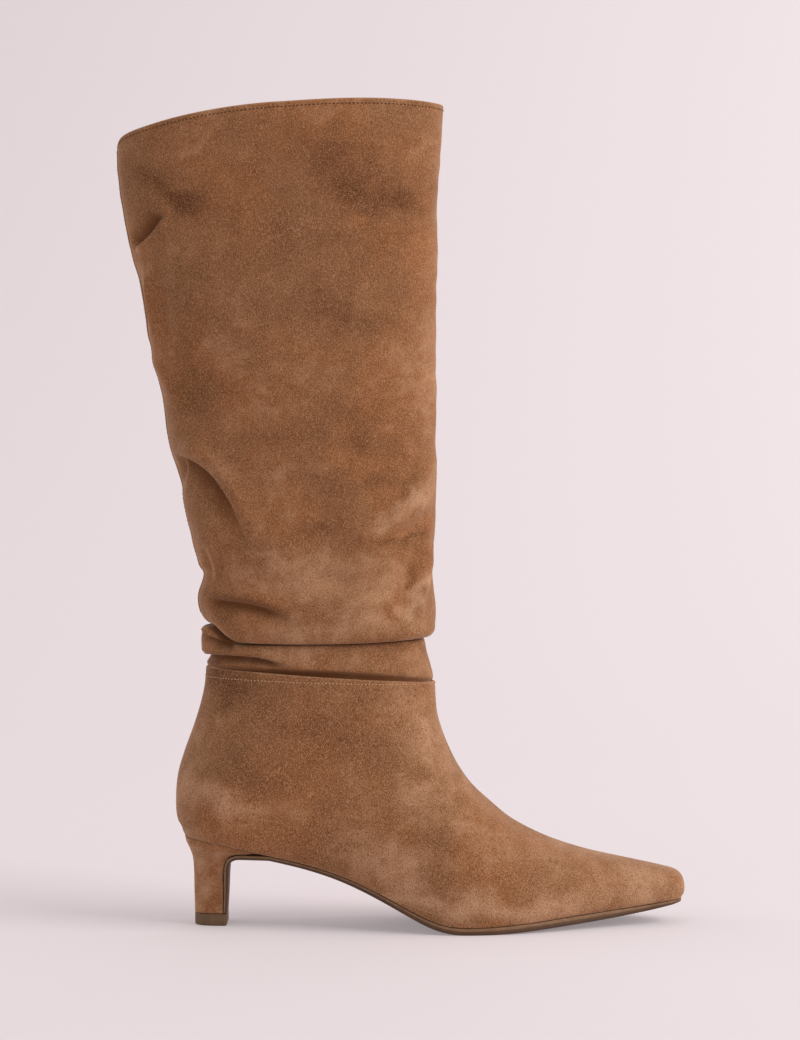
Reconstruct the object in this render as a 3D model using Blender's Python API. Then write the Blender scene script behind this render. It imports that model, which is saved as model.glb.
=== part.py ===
"""Slouch boot for the right foot: a pointed foot part on a kitten heel under a tall, slack shaft.

X runs forward from the middle of the heel's tread, Y towards the inner side of the foot, Z up from the
floor. Sizes in the tables are millimetres. Each piece is its own object.
"""

import math
from collections import namedtuple

import bmesh
import bpy
import numpy as np

# Driving dimensions, in millimetres
MM = 0.001
GAP = 0.3
UPPER_WALL = 1.8
SHAFT_WALL = 1.7
INSOLE_THICKNESS = 2.2
INSOLE_INSET = 2.9
INSOLE_BEVEL = 0.6
SOLE_MARGIN = 0.4
SOLE_BEVEL = 0.9
SEAT_INSET = 0.3
TOE_SWING = 6.5
SWING_START_X = 112.0
BACK_X = -14.2
SEAT_ROUND_X = 8.0
TOE_X = 252.8
TOE_ROUND_X = 238.0
TOE_SQUARENESS = 3.2
ELLIPSE = 2.0
TIP_HEIGHT = 6.4
TIP_BACK_X = -8.8
TIP_FRONT_X = 8.7
TIP_HALF_WIDTH = 10.8
TIP_FULLNESS = 2.8
SHAFT_TUCK = 11.0
TUCK_UNDER_EDGE = 1.0
TUCK_OVER_EDGE = 1.4
TUCK_CLEARANCE = 2.8
SIDE_BLEND = 24.0
CREASE_END_FADE = 0.12
SOLE_SIDE_BREAK = 0.35

# How finely each piece is cut into faces
SHAFT_COLUMNS = 42
SHAFT_ROW_STEP = 10.0
SEAT_SECTION = 16
SEAT_ROWS = 9
FOOT_CLOSED_ROWS = 8
SIDE_LOW_COLUMNS = 7
SIDE_HIGH_COLUMNS = 9
HEEL_SIDE_COLUMNS = 7
CREASE_PATH_POINTS = 9
INSOLE_STATIONS = 23
NORMAL_SMOOTHING = 3

# The bottom of the last: height of the feather edge, the half widths to the outer and inner edge,
# and how thick the sole under it is
LastRow = namedtuple("LastRow", "x z outer inner sole")
LAST_BOTTOM = (
    LastRow(-14.2, 48.3, 25.0, 25.0, 2.5),
    LastRow(5.0, 46.0, 26.5, 26.0, 2.5),
    LastRow(16.0, 43.3, 27.3, 26.4, 2.5),
    LastRow(30.0, 40.2, 27.0, 25.0, 2.6),
    LastRow(50.0, 35.5, 26.4, 22.0, 2.6),
    LastRow(71.0, 29.0, 27.8, 20.2, 3.0),
    LastRow(92.0, 19.8, 32.6, 21.6, 3.6),
    LastRow(110.0, 10.6, 38.2, 26.6, 3.9),
    LastRow(126.0, 4.5, 42.4, 32.6, 4.7),
    LastRow(140.0, 3.9, 43.4, 37.0, 4.5),
    LastRow(155.0, 4.5, 42.0, 38.8, 4.5),
    LastRow(172.0, 5.8, 38.2, 37.4, 4.5),
    LastRow(192.0, 7.7, 31.0, 32.6, 4.7),
    LastRow(213.0, 9.5, 23.0, 25.6, 4.4),
    LastRow(233.0, 11.4, 16.0, 18.4, 3.6),
    LastRow(246.0, 12.9, 12.6, 14.0, 2.7),
    LastRow(252.8, 13.7, 11.4, 12.4, 1.8),
)

# Sections of the foot part, fanned from the toe over the instep to the ankle. Each runs from the ridge
# down to the last's bottom at base_x. Outer and inner are its greatest half widths, widest is how far up
# they lie, and the fulls are how square its upper and lower quarters are (2 is an ellipse).
Section = namedtuple("Section", "ridge_x ridge_z base_x outer inner widest top_full base_full")
FOOT_SECTIONS = (
    Section(252.8, 13.7, 252.8, 0.5, 0.5, 0.50, 2.4, 2.0),
    Section(254.2, 16.6, 252.2, 6.6, 7.2, 0.50, 2.4, 2.0),
    Section(254.5, 20.4, 250.6, 9.8, 10.6, 0.50, 2.4, 2.0),
    Section(253.1, 25.2, 247.6, 12.4, 13.6, 0.46, 2.4, 2.0),
    Section(249.2, 28.3, 243.6, 14.8, 16.4, 0.42, 2.4, 2.0),
    Section(242.0, 30.2, 238.0, 17.4, 19.4, 0.40, 2.3, 2.0),
    Section(231.0, 32.7, 229.5, 20.2, 22.8, 0.36, 2.2, 2.0),
    Section(217.0, 35.7, 216.0, 24.8, 27.6, 0.32, 2.1, 2.0),
    Section(202.0, 39.2, 201.0, 30.4, 32.8, 0.28, 2.0, 2.0),
    Section(187.0, 43.9, 186.5, 36.0, 37.0, 0.25, 1.95, 2.0),
    Section(173.5, 49.6, 172.0, 41.0, 40.2, 0.23, 1.9, 2.0),
    Section(160.6, 56.9, 157.5, 44.4, 41.8, 0.22, 1.9, 2.0),
    Section(150.0, 65.6, 143.0, 46.0, 40.8, 0.22, 1.9, 2.0),
    Section(141.2, 74.0, 128.0, 45.2, 37.8, 0.22, 1.9, 2.0),
    Section(134.0, 83.7, 111.0, 42.0, 34.6, 0.24, 1.9, 2.0),
    Section(128.6, 93.0, 92.0, 38.4, 32.6, 0.28, 1.9, 2.0),
    Section(124.9, 101.4, 71.0, 35.6, 31.6, 0.34, 1.95, 2.1),
    Section(122.4, 109.0, 48.0, 33.8, 31.4, 0.38, 2.0, 2.2),
    Section(121.1, 115.0, 23.0, 33.0, 31.6, 0.40, 2.0, 2.4),
    Section(120.6, 119.5, -2.0, 32.8, 31.8, 0.42, 2.0, 2.5),
    Section(120.4, 122.5, -14.2, 32.6, 31.8, 0.43, 2.0, 2.5),
)
# Above the heel seat the sections start on the back, at back_x and back_z. Base_outer and base_inner are
# the half widths that they would start with, round_x is where the side starts to turn in towards the back.
BackSection = namedtuple(
    "BackSection",
    "ridge_x ridge_z back_x back_z outer inner widest base_outer base_inner base_full round_x",
)
BACK_SECTIONS = (
    BackSection(120.4, 122.5, -14.2, 48.3, 32.6, 31.8, 0.43, 25.0, 25.0, 2.5, 8.0),
    BackSection(120.3, 124.6, -17.9, 56.4, 32.4, 31.7, 0.44, 26.5, 26.3, 2.5, 10.0),
    BackSection(120.2, 126.0, -19.0, 68.0, 32.0, 31.4, 0.45, 27.6, 27.3, 2.4, 14.0),
    BackSection(120.2, 127.2, -18.2, 81.0, 31.2, 30.8, 0.46, 28.2, 27.8, 2.3, 21.0),
    BackSection(120.1, 128.2, -14.6, 94.0, 30.4, 30.0, 0.47, 28.6, 28.2, 2.2, 30.0),
    BackSection(120.1, 128.9, -9.6, 107.3, 29.9, 29.5, 0.48, 29.0, 28.6, 2.1, 40.0),
    BackSection(120.1, 129.4, -5.6, 119.0, 29.6, 29.2, 0.49, 29.3, 28.8, 2.0, 50.0),
    BackSection(120.1, 129.7, -3.4, 129.0, 29.5, 29.0, 0.50, 29.5, 29.0, 2.0, 57.0),
    BackSection(120.1, 129.9, -2.6, 138.2, 29.5, 29.0, 0.50, 29.5, 29.0, 2.0, 58.7),
)

# Rings of the shaft from its tucked end to the collar: the back and front points, the height at both
# sides, and the half widths to the outer and inner side. The suede doubles under where the skirt's lip
# turns in to the tuck.
Ring = namedtuple("Ring", "place back_x back_z front_x front_z side_z outer inner")
SHAFT_RINGS = (
    Ring("band foot", -2.2, 142.0, 119.2, 134.1, 137.8, 29.0, 28.5),
    Ring("band", -2.8, 146.4, 117.6, 140.4, 143.0, 29.2, 28.7),
    Ring("band lobe", -6.1, 152.8, 115.4, 147.2, 148.2, 28.8, 28.3),
    Ring("band top", -4.4, 159.4, 114.0, 152.0, 152.2, 27.4, 26.9),
    Ring("tuck", 2.6, 161.9, 110.6, 155.6, 155.0, 23.6, 23.1),
    Ring("lip, inner turn", 0.2, 163.3, 114.6, 154.0, 153.8, 27.6, 27.1),
    Ring("lip, outer turn", -4.6, 166.6, 119.4, 156.0, 155.4, 31.0, 30.5),
    Ring("skirt roll", -6.1, 172.4, 121.2, 163.5, 161.8, 32.6, 32.0),
    Ring("skirt", -5.9, 179.2, 120.6, 172.3, 170.8, 32.8, 32.2),
    Ring("back notch", -3.2, 186.6, 119.4, 182.0, 180.8, 32.3, 31.7),
    Ring("above the notch", -6.4, 194.8, 118.0, 196.8, 194.8, 31.8, 31.2),
    Ring("lower calf", -10.4, 212.0, 120.2, 211.8, 210.8, 31.3, 30.8),
    Ring("calf hollow", -13.4, 231.5, 120.6, 232.8, 231.8, 31.0, 30.5),
    Ring("under the ridge", -20.6, 254.5, 120.6, 258.6, 257.6, 31.2, 30.7),
    Ring("calf", -25.8, 285.5, 120.6, 290.5, 288.5, 31.6, 31.1),
    Ring("upper calf", -33.4, 320.5, 120.4, 324.5, 323.5, 32.0, 31.5),
    Ring("below the dent", -39.9, 354.5, 121.2, 358.5, 358.5, 32.0, 31.5),
    Ring("dent", -44.8, 375.5, 121.4, 382.5, 382.5, 31.6, 31.1),
    Ring("leg opening", -48.4, 399.0, 123.0, 408.0, 408.5, 31.2, 30.7),
    Ring("collar", -49.4, 419.8, 124.4, 437.2, 437.0, 31.0, 30.5),
)

# Soft troughs and ridges pressed across one side of the shaft, in its side view. A negative depth
# stands out.
OUTER_SIDE = -1
INNER_SIDE = 1
Crease = namedtuple("Crease", "place side start bend end depth width")
CREASES = (
    Crease("valley under the ridge", OUTER_SIDE, (-10, 246), (10, 238), (30, 198), 5.5, 8.0),
    Crease("ridge over the valley", OUTER_SIDE, (-22, 258), (2, 252), (20, 222), -3.0, 8.0),
    Crease("dent at the upper back", OUTER_SIDE, (-44, 364), (-34, 372), (-24, 386), 4.5, 8.0),
    Crease("skirt valley", OUTER_SIDE, (-6, 172), (22, 176), (44, 163), 3.0, 6.0),
    Crease("front pleat", OUTER_SIDE, (118, 198), (111, 186), (108, 168), 2.5, 6.0),
    Crease("front diagonal", OUTER_SIDE, (118, 214), (96, 206), (66, 196), 2.5, 10.0),
    Crease("inner valley", INNER_SIDE, (-8, 240), (14, 230), (34, 204), 4.5, 9.0),
    Crease("inner ridge", INNER_SIDE, (-18, 262), (6, 252), (26, 226), -2.5, 9.0),
    Crease("inner dent", INNER_SIDE, (-42, 352), (-28, 362), (-12, 380), 3.5, 9.0),
    Crease("inner front diagonal", INNER_SIDE, (118, 232), (94, 222), (60, 208), 3.0, 11.0),
)

# Slices of the heel from the seat down to the top-piece: front and back points, the half widths at the
# breast, and how square the slice is
HeelSlice = namedtuple("HeelSlice", "front_x front_z back_x back_z outer inner full")
HEEL_SLICES = (
    HeelSlice(27.0, 40.3, -14.2, 47.9, 26.6, 24.8, 3.0),
    HeelSlice(19.0, 40.2, -13.2, 45.2, 25.0, 24.0, 3.0),
    HeelSlice(12.8, 39.4, -12.0, 42.6, 22.0, 21.6, 3.0),
    HeelSlice(9.2, 36.6, -10.8, 39.6, 18.4, 18.2, 2.9),
    HeelSlice(7.6, 32.2, -9.8, 35.6, 14.6, 14.6, 2.8),
    HeelSlice(7.0, 27.0, -9.3, 29.5, 12.2, 12.2, 2.8),
    HeelSlice(6.9, 18.0, -9.1, 18.5, 11.0, 11.0, 2.8),
    HeelSlice(6.4, 6.7, -8.8, 6.7, 10.6, 10.6, 2.8),
)

# Where the sole is cut into sections, from the toe's tip to the breast
SOLE_CUTS = (
    *(252.2, 251.2, 249.4, 246.8, 242.8),
    *range(232, 170, -10),
    *(163, 155, 148, 140, 132, 126, 121, 116, 110, 104, 98, 91),
    *range(84, 29, -9),
)

# The sole's flap, from its turn at the breast down to the top-piece: a point of its front face, the way
# from there to its back face, and the half widths
FlapStep = namedtuple("FlapStep", "x z thick_x thick_z outer inner")
BREAST_FLAP = (
    FlapStep(19.0, 37.4, 0.0, 2.4, 26.0, 25.0),
    FlapStep(14.6, 37.1, -0.8, 2.2, 24.0, 23.4),
    FlapStep(11.6, 35.4, -1.7, 1.6, 20.6, 20.4),
    FlapStep(10.1, 32.2, -2.1, 0.6, 16.6, 16.6),
    FlapStep(9.6, 27.0, -2.2, 0.1, 13.4, 13.4),
    FlapStep(9.3, 18.0, -2.0, 0.0, 11.2, 11.2),
    FlapStep(8.7, 6.7, -1.9, 0.0, 10.4, 10.4),
)

# Colour, roughness and metallic value of each finish
FINISHES = {
    "suede": ((0.36, 0.19, 0.09), 0.95, 0.0),
    "sole_resin": ((0.17, 0.10, 0.06), 0.55, 0.0),
    "tip_rubber": ((0.16, 0.10, 0.05), 0.6, 0.0),
    "sock": ((0.42, 0.27, 0.16), 0.85, 0.0),
}


def through(knots, values, at):
    """A smooth curve through the rows of a table: cubics whose slopes come from the neighbouring rows."""
    knots = np.asarray(knots, float)
    values = np.asarray(values, float)
    at = np.asarray(at, float)
    slopes = np.gradient(values, knots, axis=0)
    first = np.clip(np.searchsorted(knots, at, side="right") - 1, 0, len(knots) - 2)
    span = knots[first + 1] - knots[first]
    t = (at - knots[first]) / span
    shape = t.shape + (1,) * (values.ndim - 1)
    t, span = t.reshape(shape), span.reshape(shape)
    return (
        (2 * t**3 - 3 * t**2 + 1) * values[first]
        + (t**3 - 2 * t**2 + t) * span * slopes[first]
        + (3 * t**2 - 2 * t**3) * values[first + 1]
        + (t**3 - t**2) * span * slopes[first + 1]
    )


def smooth_step(t):
    t = np.clip(t, 0.0, 1.0)
    return t * t * (3 - 2 * t)


def swing(x):
    """How far the foot's middle line lies towards the inner side, growing to the toe."""
    return TOE_SWING * smooth_step((np.asarray(x, float) - SWING_START_X) / (TOE_X - SWING_START_X))


def last_value(column, x):
    places = [row.x for row in LAST_BOTTOM]
    return through(places, [getattr(row, column) for row in LAST_BOTTOM], x)


def feather_height(x):
    return last_value("z", x)


def seat_rounding(x, back_x, round_x):
    """How much of its width the foot keeps at x, as it turns in towards its back."""
    return np.sqrt(1 - np.clip((round_x - x) / (round_x - back_x), 0.0, 1.0) ** 2)


def toe_squaring(x):
    """How much of its width the last's bottom keeps at x, as it turns in towards the tip of the toe."""
    toe = np.clip((x - TOE_ROUND_X) / (TOE_X - TOE_ROUND_X), 0.0, 1.0)
    return (1 - toe**TOE_SQUARENESS) ** (1 / TOE_SQUARENESS)


def feather_half_width(column, x):
    """Half width of the last's bottom, rounded off at the back of the seat and squared off at the toe."""
    x = np.asarray(x, float)
    return last_value(column, x) * toe_squaring(x) * seat_rounding(x, BACK_X, SEAT_ROUND_X)


def back_contour(z):
    """The foot's back edge in its side view."""
    heights = [row.back_z for row in BACK_SECTIONS]
    return through(heights, [row.back_x for row in BACK_SECTIONS], np.maximum(z, heights[0]))


def section_points(ridge, base, widths, half_base, widest, top_full, base_full, round_x):
    """A grid row for each section, from the outer feather edge over the ridge to the inner one."""
    low_down = np.cos(np.linspace(0.0, math.pi / 2, SIDE_LOW_COLUMNS + 1))
    high_turn = np.linspace(0.0, math.pi / 2, SIDE_HIGH_COLUMNS + 1)[1:]
    high_up = np.sin(high_turn) ** (2 / top_full[:, None])
    high_wide = np.clip(np.cos(high_turn), 0, 1) ** (2 / top_full[:, None])
    low_wide = (1 - low_down ** base_full[:, None]) ** (1 / base_full[:, None])
    low_up = widest[:, None] * (1 - low_down)
    up = np.concatenate([low_up, widest[:, None] + (1 - widest)[:, None] * high_up], axis=1)
    x = base[0][:, None] + up * (ridge[0] - base[0])[:, None]
    z = base[1][:, None] + up * (ridge[1] - base[1])[:, None]
    rounding = seat_rounding(x, back_contour(z), round_x[:, None])
    sides = []
    for widest_half, base_half in zip(widths, half_base):
        low = base_half[:, None] + (widest_half - base_half)[:, None] * low_wide
        high = widest_half[:, None] * high_wide
        sides.append(np.concatenate([low, high], axis=1) * rounding)
    whole_x, whole_z = (np.concatenate([part, part[:, -2::-1]], axis=1) for part in (x, z))
    across = np.concatenate([-sides[0], sides[1][:, -2::-1]], axis=1)
    return np.stack([whole_x, across + swing(whole_x), whole_z], axis=-1)


def foot_surface(closed_rows):
    """The foot part's outside as a grid from toe to ankle, and the row where it closes behind the heel."""
    rows = np.array(FOOT_SECTIONS)
    last = len(rows) - 1
    round_seat = np.sin(np.linspace(0, math.pi / 2, SEAT_ROWS + 1))
    at = np.concatenate([np.arange(SEAT_SECTION), SEAT_SECTION + (last - SEAT_SECTION) * round_seat])
    cut = Section(*through(np.arange(len(rows)), rows, at).T)
    base_x = np.clip(cut.base_x, BACK_X, TOE_X)
    squared = toe_squaring(base_x)
    front = section_points(
        (cut.ridge_x, cut.ridge_z),
        (base_x, feather_height(base_x)),
        (cut.outer, cut.inner),
        (last_value("outer", base_x) * squared, last_value("inner", base_x) * squared),
        cut.widest,
        cut.top_full,
        cut.base_full,
        np.full_like(cut.outer, SEAT_ROUND_X),
    )
    rows = np.array(BACK_SECTIONS)
    back_at = np.linspace(0, len(rows) - 1, closed_rows + 1)[1:]
    cut = BackSection(*through(np.arange(len(rows)), rows, back_at).T)
    back = section_points(
        (cut.ridge_x, cut.ridge_z),
        (cut.back_x, cut.back_z),
        (cut.outer, cut.inner),
        (cut.base_outer, cut.base_inner),
        cut.widest,
        np.full_like(cut.outer, ELLIPSE),
        cut.base_full,
        cut.round_x,
    )
    back[:, [0, -1]] = np.stack([cut.back_x, swing(cut.back_x), cut.back_z], axis=-1)[:, None]
    return np.concatenate([front, back]), len(at) - 1


def around(rings, turn):
    """Points of each ring at the given turns, 0 at the front and a quarter turn at the inner side."""
    back_x, back_z, front_x, front_z, side_z, outer, inner = (column[:, None] for column in rings.T)
    middle, reach = (front_x + back_x) / 2, (front_x - back_x) / 2
    across = np.where(np.sin(turn) > 0, inner, outer)
    x = middle + reach * np.cos(turn)
    y = across * np.sin(turn)
    ends = (back_z + front_z) / 2
    tilt = (front_z - back_z) / 2 * np.cos(turn)
    z = (ends + side_z) / 2 + tilt + (ends - side_z) / 2 * np.cos(2 * turn)
    return np.stack([x, y, z], axis=-1)


def tucked_rings():
    """The shaft's lower end, held inside the upper's ankle edge."""
    edge = BACK_SECTIONS[-1]
    rings = []
    for rise in (-SHAFT_TUCK, -TUCK_UNDER_EDGE, TUCK_OVER_EDGE):
        rings.append(
            (
                edge.back_x + TUCK_CLEARANCE,
                edge.back_z + rise,
                edge.ridge_x - TUCK_CLEARANCE,
                edge.ridge_z + rise,
                (edge.back_z + edge.ridge_z) / 2 + rise,
                edge.outer - TUCK_CLEARANCE,
                edge.inner - TUCK_CLEARANCE,
            )
        )
    return rings


def crease_depth(x, y, z):
    """How far the shaft's surface is pressed in at each point."""
    depth = np.zeros_like(x)
    steps = np.linspace(0.0, 1.0, CREASE_PATH_POINTS)
    for crease in CREASES:
        start, bend, end = (np.array(point, float) for point in (crease.start, crease.bend, crease.end))
        path = np.outer((1 - steps) ** 2, start) + np.outer(2 * steps * (1 - steps), bend)
        path += np.outer(steps**2, end)
        nearest = np.full(x.shape, np.inf)
        along = np.zeros_like(x)
        for share, (path_x, path_z) in zip(steps, path):
            distance = np.hypot(x - path_x, z - path_z)
            along = np.where(distance < nearest, share, along)
            nearest = np.minimum(nearest, distance)
        fade = np.sin(math.pi * (CREASE_END_FADE + (1 - 2 * CREASE_END_FADE) * along))
        here = smooth_step(crease.side * y * 2 / SIDE_BLEND + 0.5)
        depth += crease.depth * fade * here * np.exp(-((nearest / crease.width) ** 2))
    return depth


def shaft_surface(columns, row_step):
    """The shaft's outside as a grid of rings, from the tucked end to the collar."""
    rings = np.array(tucked_rings() + [ring[1:] for ring in SHAFT_RINGS])
    back = np.hypot(*np.diff(rings[:, [0, 1]], axis=0).T)
    front = np.hypot(*np.diff(rings[:, [2, 3]], axis=0).T)
    side = np.hypot(*np.diff(rings[:, [4, 5]], axis=0).T)
    knots = np.concatenate([[0.0], np.cumsum((back + front + 2 * side) / 4)])
    at = [knots[0]]
    for low, high in zip(knots[:-1], knots[1:]):
        steps = max(1, round((high - low) / row_step))
        at.extend(low + (high - low) * (1 + np.arange(steps)) / steps)
    turn = np.linspace(0, 2 * math.pi, columns, endpoint=False)
    points = around(through(knots, rings, np.array(at)), turn[None, :])
    x, y, z = np.moveaxis(points, -1, 0)
    inward = ring_normals(points)
    inward[..., 2] = 0
    inward /= np.linalg.norm(inward, axis=-1, keepdims=True)
    return points - inward * crease_depth(x, y, z)[..., None]


def ring_normals(points):
    """Outward normals of a grid of closed rings that run up from the bottom."""
    up = np.gradient(points, axis=0)
    along = (np.roll(points, -1, axis=1) - np.roll(points, 1, axis=1)) / 2
    normal = np.cross(along, up)
    return normal / np.linalg.norm(normal, axis=-1, keepdims=True)


def foot_normals(points, closing_row):
    """Outward normals of the foot's grid, level where its edge meets the sole."""
    back = np.gradient(points, axis=0)
    over = np.gradient(points, axis=1)
    joined = (points[closing_row:, 1] - points[closing_row:, -2]) / 2
    over[closing_row:, 0] = joined
    over[closing_row:, -1] = joined
    normal = np.cross(over, back)
    for _ in range(NORMAL_SMOOTHING):
        normal /= np.linalg.norm(normal, axis=-1, keepdims=True)
        normal[1:-1] += (normal[:-2] + normal[2:]) / 2
        normal[:, 1:-1] += (normal[:, :-2] + normal[:, 2:]) / 2
    normal[0] = (1.0, 0.0, 0.0)
    normal[: closing_row + 1, [0, -1], 2] = 0
    normal[closing_row, [0, -1]] = (-1.0, 0.0, 0.0)
    normal[closing_row:, -1] = normal[closing_row:, 0]
    normal[-1, :, 2] = 0
    return normal / np.linalg.norm(normal, axis=-1, keepdims=True)


def finish_of(name):
    material = bpy.data.materials.get(name)
    if material is None:
        colour, roughness, metallic = FINISHES[name]
        material = bpy.data.materials.new(name)
        material.use_nodes = True
        surface = material.node_tree.nodes["Principled BSDF"]
        surface.inputs["Base Color"].default_value = (*colour, 1.0)
        surface.inputs["Roughness"].default_value = roughness
        surface.inputs["Metallic"].default_value = metallic
        material.diffuse_color = (*colour, 1.0)
    return material


def add_solid(name, points, faces, finish):
    """An object from points in millimetres and faces that close it, its faces turned outwards."""
    mesh = bpy.data.meshes.new(name)
    corners = [[int(corner) for corner in face] for face in faces]
    mesh.from_pydata((np.asarray(points) * MM).tolist(), [], corners)
    shape = bmesh.new()
    shape.from_mesh(mesh)
    bmesh.ops.recalc_face_normals(shape, faces=shape.faces)
    bmesh.ops.triangulate(shape, faces=shape.faces, quad_method="SHORT_EDGE")
    shape.to_mesh(mesh)
    shape.free()
    mesh.shade_smooth()
    mesh.materials.append(finish_of(finish))
    solid = bpy.data.objects.new(name, mesh)
    bpy.context.scene.collection.objects.link(solid)
    return solid


def band_faces(rings, corners, rejoined=False):
    """Four-sided faces between closed rings of points. Rejoined rings also join the last to the first."""
    faces = []
    for ring in range(rings if rejoined else rings - 1):
        above = (ring + 1) % rings * corners
        for corner in range(corners):
            after = (corner + 1) % corners
            faces.append((ring * corners + corner, ring * corners + after, above + after, above + corner))
    return faces


def make_upper():
    """The foot part: one wall from the toe to the ankle, open at the ankle and underneath."""
    outside, closing_row = foot_surface(FOOT_CLOSED_ROWS)
    inside = outside - UPPER_WALL * foot_normals(outside, closing_row)
    rows, columns = outside.shape[:2]
    number = np.arange(rows * columns).reshape(rows, columns)
    number[0, :] = number[0, 0]
    number[closing_row:, -1] = number[closing_row:, 0]
    faces = []
    for row in range(rows - 1):
        for column in range(columns - 1):
            corners = (
                number[row, column],
                number[row, column + 1],
                number[row + 1, column + 1],
                number[row + 1, column],
            )
            faces.append(tuple(dict.fromkeys(corners)))
    inner_start = rows * columns
    faces += [tuple(inner_start + corner for corner in face[::-1]) for face in faces]
    feather = [*number[closing_row:0:-1, 0], number[0, 0], *number[1:closing_row, -1]]
    ankle = list(number[-1, :-1])
    for loop in (feather, ankle):
        for here, there in zip(loop, loop[1:] + loop[:1]):
            faces.append((here, there, inner_start + there, inner_start + here))
    points = np.concatenate([outside.reshape(-1, 3), inside.reshape(-1, 3)])
    used = sorted({corner for face in faces for corner in face})
    renumber = {old: new for new, old in enumerate(used)}
    return add_solid("upper", points[used], [[renumber[c] for c in face] for face in faces], "suede")


def make_shaft():
    """The slouched leg: one wall, open at the collar and at its tucked end."""
    outside = shaft_surface(SHAFT_COLUMNS, SHAFT_ROW_STEP)
    normal = ring_normals(outside)
    normal[[0, -1], :, 2] = 0
    normal /= np.linalg.norm(normal, axis=-1, keepdims=True)
    inside = outside - SHAFT_WALL * normal
    walls = np.concatenate([outside, inside[::-1]])
    faces = band_faces(len(walls), SHAFT_COLUMNS, rejoined=True)
    return add_solid("shaft", walls.reshape(-1, 3), faces, "suede")


def loft(name, rings, finish):
    """A solid through closed rings whose points run from one front corner round the back to the other."""
    count, corners = rings.shape[:2]
    faces = band_faces(count, corners)
    for start in (0, (count - 1) * corners):
        for corner in range(corners // 2):
            opposite = corners - 1 - corner
            face = (start + corner, start + corner + 1, start + opposite - 1, start + opposite)
            faces.append(tuple(dict.fromkeys(face)))
    return add_solid(name, rings.reshape(-1, 3), faces, finish)


def slice_ring(front, back, outer, inner, full):
    """A D-shaped ring, straight in front and rounded behind, from its outer front corner to the inner."""
    angle = np.linspace(0.0, math.pi / 2, HEEL_SIDE_COLUMNS + 1)
    wide, long = np.clip(np.cos(angle), 0, 1) ** (2 / full), np.sin(angle) ** (2 / full)
    x = front[0] + (back[0] - front[0]) * long
    z = front[1] + (back[1] - front[1]) * long
    outer_side = np.stack([x, -outer * wide, z], axis=-1)
    inner_side = np.stack([x, inner * wide, z], axis=-1)
    return np.concatenate([outer_side, inner_side[-2::-1]])


def make_heel():
    rings = []
    for cut in HEEL_SLICES:
        front, back = (cut.front_x, cut.front_z), (cut.back_x, cut.back_z)
        rings.append(slice_ring(front, back, cut.outer, cut.inner, cut.full))
    seat = rings[0]
    outer = feather_half_width("outer", seat[:, 0]) - SEAT_INSET
    inner = feather_half_width("inner", seat[:, 0]) - SEAT_INSET
    seat[:, 1] = np.where(seat[:, 1] < 0, -np.maximum(outer, 0), np.maximum(inner, 0))
    seat[:, 2] = feather_height(seat[:, 0]) - GAP
    return loft("heel", np.array(rings), "suede")


def make_heel_tip():
    rings = []
    for height in (TIP_HEIGHT, 0.0):
        front, back = (TIP_FRONT_X, height), (TIP_BACK_X, height)
        rings.append(slice_ring(front, back, TIP_HALF_WIDTH, TIP_HALF_WIDTH, TIP_FULLNESS))
    return loft("heel_tip", np.array(rings), "tip_rubber")


def sole_bottom(x):
    """The tread's height: the sole under the last, flattened where it stands on the floor."""
    return np.maximum(feather_height(x) - last_value("sole", x), 0.0)


def sole_section(bottom, top, outer, inner, bevel):
    """A sole's section from its top outer edge round underneath: lip, side, bevel and tread."""
    (bottom_x, bottom_z), (top_x, top_z) = bottom, top
    side_x = bottom_x + SOLE_SIDE_BREAK * (top_x - bottom_x)
    side_z = bottom_z + SOLE_SIDE_BREAK * (top_z - bottom_z)
    middle = swing(bottom_x)
    return [
        (top_x, middle - outer, top_z),
        (side_x, middle - outer, side_z),
        (bottom_x, middle - outer + bevel, bottom_z),
        (bottom_x, middle + inner - bevel, bottom_z),
        (side_x, middle + inner, side_z),
        (top_x, middle + inner, top_z),
    ]


def make_outsole():
    """The sole from the toe to the heel's breast, then turned down the breast as a flap."""
    sections = []
    flap_bevel = SOLE_BEVEL / 2
    for x in SOLE_CUTS:
        outer = feather_half_width("outer", x) + SOLE_MARGIN
        inner = feather_half_width("inner", x) + SOLE_MARGIN
        bottom, top = float(sole_bottom(x)), float(feather_height(x)) - GAP
        sections.append(sole_section((x, bottom), (x, top), outer, inner, SOLE_BEVEL))
    for step in BREAST_FLAP:
        front, behind = (step.x, step.z), (step.x + step.thick_x, step.z + step.thick_z)
        sections.append(sole_section(front, behind, step.outer, step.inner, flap_bevel))
    rings = np.array(sections)
    count, corners = rings.shape[:2]
    faces = band_faces(count, corners)
    faces.append(tuple(range(corners)))
    faces.append(tuple(range((count - 1) * corners, count * corners)))
    return add_solid("outsole", rings.reshape(-1, 3), faces, "sole_resin")


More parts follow.
